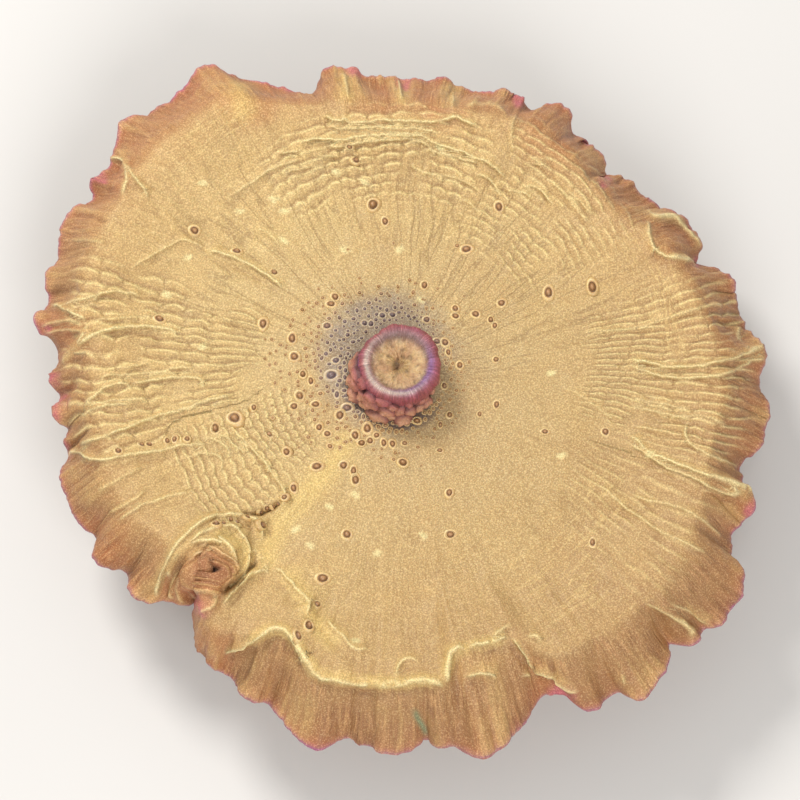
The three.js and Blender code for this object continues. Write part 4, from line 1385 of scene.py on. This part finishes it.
def ramp(tree, value, stops):
    """Colours along a value: each stop is its place, then red, green and blue."""
    made = put(tree, "ShaderNodeValToRGB", {"Fac": value})
    elements = made.color_ramp.elements
    while len(elements) < len(stops):
        elements.new(1.0)
    for element, (at, *shade) in zip(elements, stops):
        element.position = at
        element.color = colour(*shade)
    return made.outputs["Color"]


def between(tree, value, low, high):
    """A mask that goes smoothly from 0 to 1 as the value goes from low to high."""
    given = {"Value": value, "From Min": low, "From Max": high}
    return put(tree, "ShaderNodeMapRange", given, interpolation_type="SMOOTHSTEP").outputs["Result"]


def blend_colour(tree, share, first, second):
    """The first colour with this share of the second."""
    return put(tree, "ShaderNodeMix", {0: share, 6: first, 7: second}, data_type="RGBA").outputs[2]


def tinted(tree, shade, tints):
    """A colour with tints laid over it in turn: each is a mask, a share of it and a colour."""
    for mask, share, tint in tints:
        shade = blend_colour(tree, times(tree, mask, share), shade, colour(*tint))
    return shade


def attribute(tree, name):
    """One of the values that the mesh carries."""
    return put(tree, "ShaderNodeAttribute", attribute_name=name).outputs["Fac"]


def new_group(name, inputs, outputs):
    """A shader node group whose sockets are all numbers; the inputs come with their first values."""
    group = bpy.data.node_groups.new(name, "ShaderNodeTree")
    for socket_name, value in inputs.items():
        socket = group.interface.new_socket(socket_name, in_out="INPUT", socket_type="NodeSocketFloat")
        socket.default_value = value
    for socket_name in outputs:
        group.interface.new_socket(socket_name, in_out="OUTPUT", socket_type="NodeSocketFloat")
    given = group.nodes.new("NodeGroupInput").outputs
    wanted = group.nodes.new("NodeGroupOutput").inputs
    return group, given, wanted


# Colours from the mouth's foot outwards, as shares of the way to the margin's very edge
DISC_COLOURS = [
    (0.08, 184, 164, 126), (0.14, 200, 176, 126), (0.28, 206, 179, 122), (0.44, 204, 171, 116),
    (0.58, 194, 146, 96), (0.72, 184, 130, 86), (0.88, 180, 112, 74), (0.925, 196, 108, 88),
    (0.945, 214, 104, 132), (0.966, 138, 74, 160),
]
# Colours of the cone from its foot over the lip into the gullet; the darker foot is partly painted shade
CONE_COLOURS = [
    (0.0, 96, 70, 64), (0.10, 140, 96, 80), (0.24, 160, 96, 90), (0.38, 170, 86, 96),
    (0.50, 178, 90, 104), (0.575, 184, 106, 122), (0.63, 196, 150, 150), (0.69, 206, 178, 144),
    (0.78, 214, 184, 134), (0.92, 190, 160, 108), (1.0, 130, 102, 66),
]
# Colours of the underside: edge, folds, column and the moist cut
UNDER_COLOURS = [
    (0.0, 200, 120, 96), (0.3, 188, 112, 88), (0.5, 196, 142, 96), (0.75, 190, 150, 108),
    (1.0, 214, 182, 140),
]
# Colours of a blister from the ring of skin round it to the top of its bead
BLISTER_COLOURS = [
    (0.0, 204, 170, 114), (0.16, 220, 190, 130), (0.30, 236, 208, 150), (0.42, 180, 140, 92),
    (0.52, 110, 78, 50), (0.74, 132, 96, 62), (1.0, 186, 142, 96),
]
SEEP_COLOUR = (1.0, 0.5, 0.25)  # how far red, green and blue light go into the flesh
MOIST_GLOSS = 0.35
MOUTH_PLACE = (MOUTH_AXIS[0] * MM, MOUTH_AXIS[1] * MM, 0.018)  # in metres, where the fine lines start


def flesh_grain_group():
    """Sandy grain and soft mottling of living tissue, in millimetres."""
    group, given, wanted = new_group(
        "flesh grain", {"Grain Size": 0.3, "Mottle Size": 4.0}, ["Grain", "Mottle", "Patch", "Height"],
    )
    place = put(group, "ShaderNodeTexCoord").outputs["Object"]
    in_mm = vector(group, "SCALE", {0: place, "Scale": 1000.0})[0]
    elsewhere = vector(group, "ADD", {0: in_mm, 1: (31.0, 17.0, 5.0)})[0]

    def cloudy(at, size, **settings):
        given_here = {"Vector": at, "Scale": calc(group, "DIVIDE", 1.0, size), **settings}
        return put(group, "ShaderNodeTexNoise", given_here).outputs["Fac"]

    grain = cloudy(in_mm, given["Grain Size"], Detail=2.0, Roughness=0.6)
    mottle = cloudy(in_mm, given["Mottle Size"], Detail=3.0, Roughness=0.55)
    patch = cloudy(elsewhere, given["Mottle Size"], Detail=1.0)
    group.links.new(between(group, grain, 0.3, 0.7), wanted["Grain"])
    group.links.new(between(group, mottle, 0.3, 0.7), wanted["Mottle"])
    group.links.new(patch, wanted["Patch"])
    group.links.new(plus(group, grain, times(group, mottle, 0.5)), wanted["Height"])
    return group


def polar_noise(group, cells_round, cells_outward):
    """Noise stretched along or across the direction away from the mouth, without a seam."""
    place = put(group, "ShaderNodeTexCoord").outputs["Object"]
    from_mouth = vector(group, "SUBTRACT", {0: place, 1: MOUTH_PLACE})[0]
    flat = vector(group, "MULTIPLY", {0: from_mouth, 1: (1.0, 1.0, 0.0)})[0]
    outward = vector(group, "NORMALIZE", {0: flat})[0]
    distance = vector(group, "LENGTH", {0: from_mouth})["Value"]
    round_cells = calc(group, "DIVIDE", cells_round, 2 * math.pi)
    turned = vector(group, "SCALE", {0: outward, "Scale": round_cells})[0]
    parts = put(group, "ShaderNodeSeparateXYZ", {"Vector": turned}).outputs
    steps = times(group, distance, 1000.0, cells_outward)
    at = put(group, "ShaderNodeCombineXYZ", {"X": parts["X"], "Y": parts["Y"], "Z": steps})
    given = {"Vector": at.outputs["Vector"], "Scale": 1.0, "Detail": 2.0, "Roughness": 0.45}
    return put(group, "ShaderNodeTexNoise", given).outputs["Fac"]


def contour(group, value, width):
    """A line wherever the noise crosses its middle value."""
    off = calc(group, "ABSOLUTE", calc(group, "SUBTRACT", value, 0.5))
    return outside(group, between(group, off, 0.0, width))


def outward_lines_group():
    """Fine lines that run out from the mouth like spokes, wavering and branching a little."""
    group, given, wanted = new_group(
        "outward lines", {"Lines": 150.0, "Change Per mm": 0.12, "Width": 0.05}, ["Line"],
    )
    value = polar_noise(group, given["Lines"], given["Change Per mm"])
    group.links.new(contour(group, value, given["Width"]), wanted["Line"])
    return group


def round_ripples_group():
    """Thin ripples that run round the mouth, breaking off and starting again."""
    group, given, wanted = new_group(
        "round ripples", {"Arcs": 20.0, "Ripples Per mm": 0.8, "Width": 0.05}, ["Ripple"],
    )
    value = polar_noise(group, given["Arcs"], given["Ripples Per mm"])
    group.links.new(contour(group, value, given["Width"]), wanted["Ripple"])
    return group


FLESH_GRAIN = flesh_grain_group()
ROUND_RIPPLES = round_ripples_group()
OUTWARD_LINES = outward_lines_group()


def grain_of(tree, grain_size, mottle_size):
    """The outputs of the flesh grain at these sizes in millimetres."""
    given = {"Grain Size": grain_size, "Mottle Size": mottle_size}
    return put(tree, "ShaderNodeGroup", given, node_tree=FLESH_GRAIN).outputs


def lines_of(tree, count, change, width):
    """Lines running out from the mouth, this many round it."""
    given = {"Lines": count, "Change Per mm": change, "Width": width}
    return put(tree, "ShaderNodeGroup", given, node_tree=OUTWARD_LINES).outputs["Line"]


def new_material(name):
    """A material with its node tree and its shader."""
    material = bpy.data.materials.new(name)
    material.use_nodes = True
    tree = material.node_tree
    return material, tree, tree.nodes["Principled BSDF"]


def finish_flesh(tree, skin, shade, mottle, dull, height, strength, depth, seep, seep_depth):
    """Puts the colour on the shader, with a roughness between two values that follows the mottling,
    a bump of this strength and depth in metres, and light seeping into the flesh."""
    tree.links.new(shade, skin.inputs["Base Color"])
    roughness = put(tree, "ShaderNodeMapRange", {"Value": mottle, "To Min": dull[0], "To Max": dull[1]})
    tree.links.new(roughness.outputs["Result"], skin.inputs["Roughness"])
    bump = put(tree, "ShaderNodeBump", {"Height": height, "Strength": strength, "Distance": depth})
    tree.links.new(bump.outputs["Normal"], skin.inputs["Normal"])
    skin.inputs["Subsurface Weight"].default_value = seep
    skin.inputs["Subsurface Radius"].default_value = SEEP_COLOUR
    skin.inputs["Subsurface Scale"].default_value = seep_depth


def crest_line(tree, gap, width):
    """A soft line where the gap is 0."""
    scaled = calc(tree, "DIVIDE", gap, width)
    return calc(tree, "EXPONENT", times(tree, scaled, scaled, -1.0))


def bead_masks(tree):
    """Painted highlight on the lit tops, painted shade on the shaded foots and in the gaps of the beaded
    wrinkles, from each point's row and bead.
    """
    row = attribute(tree, "row")
    bead = attribute(tree, "bead")
    shown = between(tree, attribute(tree, "beaded"), 0.05, 0.65)

    def jitter(value):
        wave = calc(tree, "SINE", times(tree, value, JITTER_RATE))
        return calc(tree, "FLOORED_MODULO", times(tree, wave, JITTER_SIZE), 1.0)

    border = calc(tree, "FLOOR", plus(tree, row, 0.5))
    swing = calc(tree, "COSINE", times(tree, plus(tree, bead, jitter(border)), 2 * math.pi))
    swing = times(tree, swing, attribute(tree, "bulge"))
    past = calc(tree, "SUBTRACT", calc(tree, "SUBTRACT", row, border), swing)
    row_above = plus(tree, border, calc(tree, "GREATER_THAN", past, 0.0))
    in_bead = calc(tree, "FRACT", plus(tree, bead, jitter(row_above), 0.5))
    to_side = calc(tree, "ABSOLUTE", calc(tree, "MULTIPLY_ADD", in_bead, 2.0, -1.0))
    lit = crest_line(tree, plus(tree, past, 0.13), 0.15)
    lit = times(tree, lit, between(tree, to_side, 1.15, 0.6), shown)
    shaded = times(tree, crest_line(tree, plus(tree, past, -0.15), 0.15), shown)
    # painted shade in the gaps between beads
    gap = times(tree, between(tree, to_side, 0.82, 1.0), between(tree, past, 0.3, -0.1), shown)
    return lit, shaded, gap


def polyp_material():
    """The tan-gold disc with its orange margin and thin pink edge, and the underside and column."""
    material, tree, skin = new_material("polyp_flesh")
    ring = attribute(tree, "ring")
    relief = attribute(tree, "relief")
    under = attribute(tree, "under")
    knob = attribute(tree, "knob")
    grain = grain_of(tree, 0.17, 3.5)
    broad = grain_of(tree, 0.9, 11.0)
    plain = outside(tree, attribute(tree, "calm"))
    wisps = between(tree, grain["Patch"], 0.3, 0.7)

    # fine lines, each kind with the rings that it comes and goes between
    inner_lines = times(
        tree, lines_of(tree, 70.0, 0.08, 0.035), between(tree, ring, 1.05, 0.75),
        attribute(tree, "spokes"), between(tree, broad["Patch"], 0.25, 0.5),
    )
    streaks = times(
        tree, lines_of(tree, 40.0, 0.03, 0.30), between(tree, ring, 0.2, 0.4),
        between(tree, ring, 1.5, 0.9),
    )
    middle_lines, outer_lines, outer_glints = [
        times(tree, lines_of(tree, count, change, width), between(tree, ring, start, full), plain, wisps)
        for count, change, width, start, full in [
            (230.0, 0.14, 0.07, 0.3, 0.6), (430.0, 0.25, 0.09, 0.8, 1.2), (260.0, 0.16, 0.07, 1.0, 1.3),
        ]
    ]
    ripple_sizes = {"Arcs": 26.0, "Ripples Per mm": 1.1, "Width": 0.05}
    ripple = times(
        tree, put(tree, "ShaderNodeGroup", ripple_sizes, node_tree=ROUND_RIPPLES).outputs["Ripple"],
        between(tree, ring, 0.5, 0.75), between(tree, ring, 1.15, 0.9),
        between(tree, broad["Patch"], 0.35, 0.75), plain,
    )
    pink = times(tree, attribute(tree, "pink"), between(tree, grain["Mottle"], -0.3, 0.9))
    bead_lit, bead_shaded, bead_gap_shade = bead_masks(tree)
    crest_gap = attribute(tree, "crest_gap")
    crest_show = attribute(tree, "crest_show")
    # painted highlight along each fold's crest, partly also paler flesh, and painted shade just past it
    # on the side away from the light
    crest = times(tree, crest_line(tree, crest_gap, 0.15), crest_show)
    crest_shade = times(tree, crest_line(tree, plus(tree, crest_gap, 0.28), 0.16), crest_show)
    crest_highlight_tint = blend_colour(tree, knob, colour(252, 232, 170), colour(226, 158, 112))

    # the disc from the mouth outwards
    disc = tinted(tree, ramp(tree, calc(tree, "DIVIDE", ring, 2.1), DISC_COLOURS), [
        (broad["Mottle"], 0.35, (176, 138, 88)),
        (grain["Mottle"], 0.25, (212, 176, 112)),
        # painted shade where the light falls off: the near right, the near left skirt and one lobe
        (attribute(tree, "tone"), 0.5, (160, 119, 75)),
        (times(tree, attribute(tree, "rust"), between(tree, ring, 2.02, 1.9)), 0.8, (178, 104, 60)),
        # pale bands of flesh, the last two partly painted highlight along the near edge's crests
        (attribute(tree, "pale_skin_and_highlight"), 0.55, (232, 202, 120)),
        (knob, 0.9, (184, 100, 56)),
        # painted shade deep in the funnel
        (between(tree, knob, 0.6, 1.0), 0.5, (128, 70, 52)),
        # painted blue-grey shade close round the mouth
        (attribute(tree, "painted_mouth_shade"), 0.75, (122, 118, 124)),
        (streaks, 0.12, (238, 212, 148)),
        (inner_lines, 0.36, (126, 98, 62)),
        (middle_lines, 0.22, (142, 104, 62)),
        (outer_lines, 0.38, (134, 78, 52)),
        (outer_glints, 0.42, (232, 178, 122)),
        (ripple, 0.38, (242, 212, 142)),
        # painted highlight, partly also paler flesh, on raised relief, and painted shade in its hollows
        (between(tree, relief, 0.04, 0.40), 0.32, (236, 204, 130)),
        (between(tree, relief, -0.02, -0.25), 0.45, (140, 98, 58)),
        # painted shade in the beads' gaps and at their shaded foots, painted highlight on their lit tops
        (bead_gap_shade, 0.30, (134, 94, 56)),
        (bead_shaded, 0.40, (134, 94, 56)),
        (bead_lit, 0.72, (252, 228, 160)),
        (pink, 0.8, (204, 96, 122)),
        # painted shade beside the crests, on the side away from the light
        (crest_shade, 0.40, (130, 90, 54)),
    ])
    # painted highlight along the crests, partly also paler flesh
    disc = blend_colour(tree, times(tree, crest, 0.9), disc, crest_highlight_tint)
    disc = tinted(tree, disc, [
        (attribute(tree, "green"), 0.75, (112, 158, 126)),
        # pale flecks, two of them painted glints
        (attribute(tree, "fleck_and_glint"), 0.75, (244, 232, 170)),
        # painted shadow at the cone's foot and painted shade in the knob's slit
        (attribute(tree, "painted_contact_shade"), 0.9, (58, 50, 62)),
    ])
    below = tinted(tree, ramp(tree, under, UNDER_COLOURS), [
        (between(tree, relief, 0.02, 0.15), 0.5, (150, 100, 66)),
    ])
    flesh = blend_colour(tree, between(tree, under, 0.02, 0.3), disc, below)
    speckled = tinted(tree, flesh, [
        (grain["Grain"], 0.46, (112, 82, 54)),
        (between(tree, grain["Grain"], 0.4, 0.0), 0.2, (250, 226, 172)),
    ])

    height = times(tree, grain["Height"], 0.7)
    for mask, amount in [
        (inner_lines, -0.4), (middle_lines, -0.3), (outer_lines, -0.35), (outer_glints, 0.4),
        (ripple, 0.4), (bead_lit, 1.0), (bead_shaded, -0.5), (bead_gap_shade, -0.6), (crest, 2.0),
        (crest_shade, -0.6),
    ]:
        height = calc(tree, "MULTIPLY_ADD", mask, amount, height)
    finish_flesh(
        tree, skin, speckled, grain["Mottle"], dull=(0.46, 0.62), height=height, strength=0.75,
        depth=0.00013, seep=0.12, seep_depth=0.0008,
    )
    skin.inputs["Specular IOR Level"].default_value = MOIST_GLOSS
    return material


def mouth_material():
    """The mauve cone, paler and violet on its lip, with a tan gullet, painted shade in the creases
    between its bulges and painted highlights on their tops.
    """
    material, tree, skin = new_material("mouth_flesh")
    share = attribute(tree, "share")
    relief = attribute(tree, "relief")
    lump = attribute(tree, "lump")
    grain = grain_of(tree, 0.20, 1.3)
    fibres = times(
        tree, lines_of(tree, 260.0, 0.5, 0.12), between(tree, share, 0.3, 0.45),
        between(tree, share, 0.74, 0.66),
    )
    throat = between(tree, share, 0.66, 0.74)
    # painted shade in the creases between the bulges, painted highlight on their tops
    crevice_shade = times(tree, between(tree, lump, 0.88, 0.6), between(tree, share, 0.4, 0.3))
    tops = times(tree, between(tree, lump, 0.8, 1.0), between(tree, share, 0.4, 0.1))
    shade = tinted(tree, ramp(tree, share, CONE_COLOURS), [
        (grain["Mottle"], 0.45, (186, 120, 104)),
        (attribute(tree, "violet"), 0.7, (128, 92, 186)),
        (attribute(tree, "mauve"), 0.6, (150, 130, 134)),
        (attribute(tree, "pale"), 0.8, (248, 230, 212)),
        (crevice_shade, 0.7, (70, 50, 58)),
        (tops, 0.7, (216, 166, 128)),
        (fibres, 0.35, (96, 62, 64)),
        (times(tree, throat, grain["Mottle"]), 0.3, (150, 124, 82)),
        (times(tree, throat, between(tree, relief, 0.02, -0.12)), 0.75, (104, 84, 58)),
        (grain["Grain"], 0.28, (92, 62, 54)),
    ])
    height = calc(tree, "MULTIPLY_ADD", fibres, -0.8, times(tree, grain["Height"], 1.1))
    finish_flesh(
        tree, skin, shade, grain["Mottle"], dull=(0.4, 0.58), height=height, strength=0.8,
        depth=0.00013, seep=0.12, seep_depth=0.0006,
    )
    skin.inputs["Specular IOR Level"].default_value = MOIST_GLOSS
    return material


def blister_material():
    """Dark beads in pale rings of skin, with painted blue-grey shade close to the mouth."""
    material, tree, skin = new_material("blister_flesh")
    grain = grain_of(tree, 0.18, 2.0)
    bead = attribute(tree, "bead")
    painted_mouth_shade = attribute(tree, "painted_mouth_shade")
    core = between(tree, bead, 0.34, 0.5)
    open_rim = times(tree, outside(tree, attribute(tree, "rim")), between(tree, bead, 0.45, 0.3))
    shade = tinted(tree, ramp(tree, bead, BLISTER_COLOURS), [
        (open_rim, 0.75, (196, 160, 106)),
        (attribute(tree, "tiny"), 0.45, (184, 148, 100)),
        # painted blue-grey shade on blisters close to the mouth, darker on their beads
        (times(tree, painted_mouth_shade, core), 0.75, (92, 88, 104)),
        (times(tree, painted_mouth_shade, outside(tree, core)), 0.5, (176, 168, 158)),
        (grain["Grain"], 0.3, (112, 80, 50)),
    ])
    finish_flesh(
        tree, skin, shade, grain["Mottle"], dull=(0.3, 0.45), height=grain["Height"], strength=0.4,
        depth=0.0001, seep=0.15, seep_depth=0.0006,
    )
    return material


def floor_material():
    """A plain pale floor, very slightly uneven in tone."""
    material, tree, skin = new_material("pale_floor")
    place = put(tree, "ShaderNodeTexCoord").outputs["Object"]
    soft = put(tree, "ShaderNodeTexNoise", {"Vector": place, "Scale": 9.0, "Detail": 2.0}).outputs["Fac"]
    shade = ramp(tree, soft, [(0.3, 206, 205, 203), (0.7, 212, 211, 209)])
    tree.links.new(shade, skin.inputs["Base Color"])
    skin.inputs["Roughness"].default_value = 0.8
    return material


# The coral: four meshes on one body, all standing for its one solid
disc_skin = grow_disc()
flesh = polyp_material()
pieces = [
    piece("polyp_flesh", disc_skin, flesh),
    piece("rolled_knob", grow_knob(), flesh),
    piece("mouth_cone", grow_mouth(), mouth_material()),
    piece("blisters", grow_blisters(disc_skin), blister_material()),
]
for item in pieces:
    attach(item, "root")
    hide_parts("polyp")

# Floor, light and camera
bpy.ops.mesh.primitive_plane_add(size=3.0, location=(0, 0, 0))
floor = bpy.context.object
floor.name = "floor"
floor.data.materials.append(floor_material())

world = bpy.data.worlds.new("studio")
bpy.context.scene.world = world
world.use_nodes = True
sky = world.node_tree.nodes["Background"].inputs
sky["Color"].default_value = (1.0, 0.98, 0.95, 1.0)
sky["Strength"].default_value = 0.58
LIT_POINT = (0, 0, 0.015)  # in metres, in the middle of the coral


def area_light(name, place, size, power, tint):
    """A round light that points at the middle of the coral."""
    data = bpy.data.lights.new(name, "AREA")
    data.shape = "DISK"
    data.size = size
    data.energy = power
    data.color = tint
    item = bpy.data.objects.new(name, data)
    item.location = place
    item.rotation_euler = (Vector(LIT_POINT) - Vector(place)).to_track_quat("-Z", "Y").to_euler()
    bpy.context.scene.collection.objects.link(item)


area_light("key", (-0.20, 0.26, 0.38), 0.16, 1.85, (1.0, 0.97, 0.93))
area_light("fill", (0.10, -0.44, 0.42), 0.35, 2.2, (1.0, 0.98, 0.97))

LENS = 600.0  # millimetres, long, as places in the photo are read without perspective
SENSOR = 36.0
PICTURE_MIDDLE = (400, 400)
VIEW_WIDTH = 87.0  # millimetres across the picture at the mouth
lens = bpy.data.cameras.new("camera")
lens.lens = LENS
lens.sensor_width = SENSOR
camera = bpy.data.objects.new("camera", lens)
towards = Vector((0, math.cos(VIEW_ELEVATION), -math.sin(VIEW_ELEVATION)))
upwards = Vector((0, math.sin(VIEW_ELEVATION), math.cos(VIEW_ELEVATION)))
middle_across, middle_up = from_pixel(*PICTURE_MIDDLE)
aim = Vector((*MOUTH_AXIS, MOUTH_TOP)) + Vector((middle_across, 0, 0)) + middle_up * upwards
camera.location = (aim - towards * (VIEW_WIDTH * LENS / SENSOR)) * MM
camera.rotation_euler = towards.to_track_quat("-Z", "Y").to_euler()
bpy.context.scene.collection.objects.link(camera)
bpy.context.scene.camera = camera
bpy.context.scene.view_settings.view_transform = "Standard"
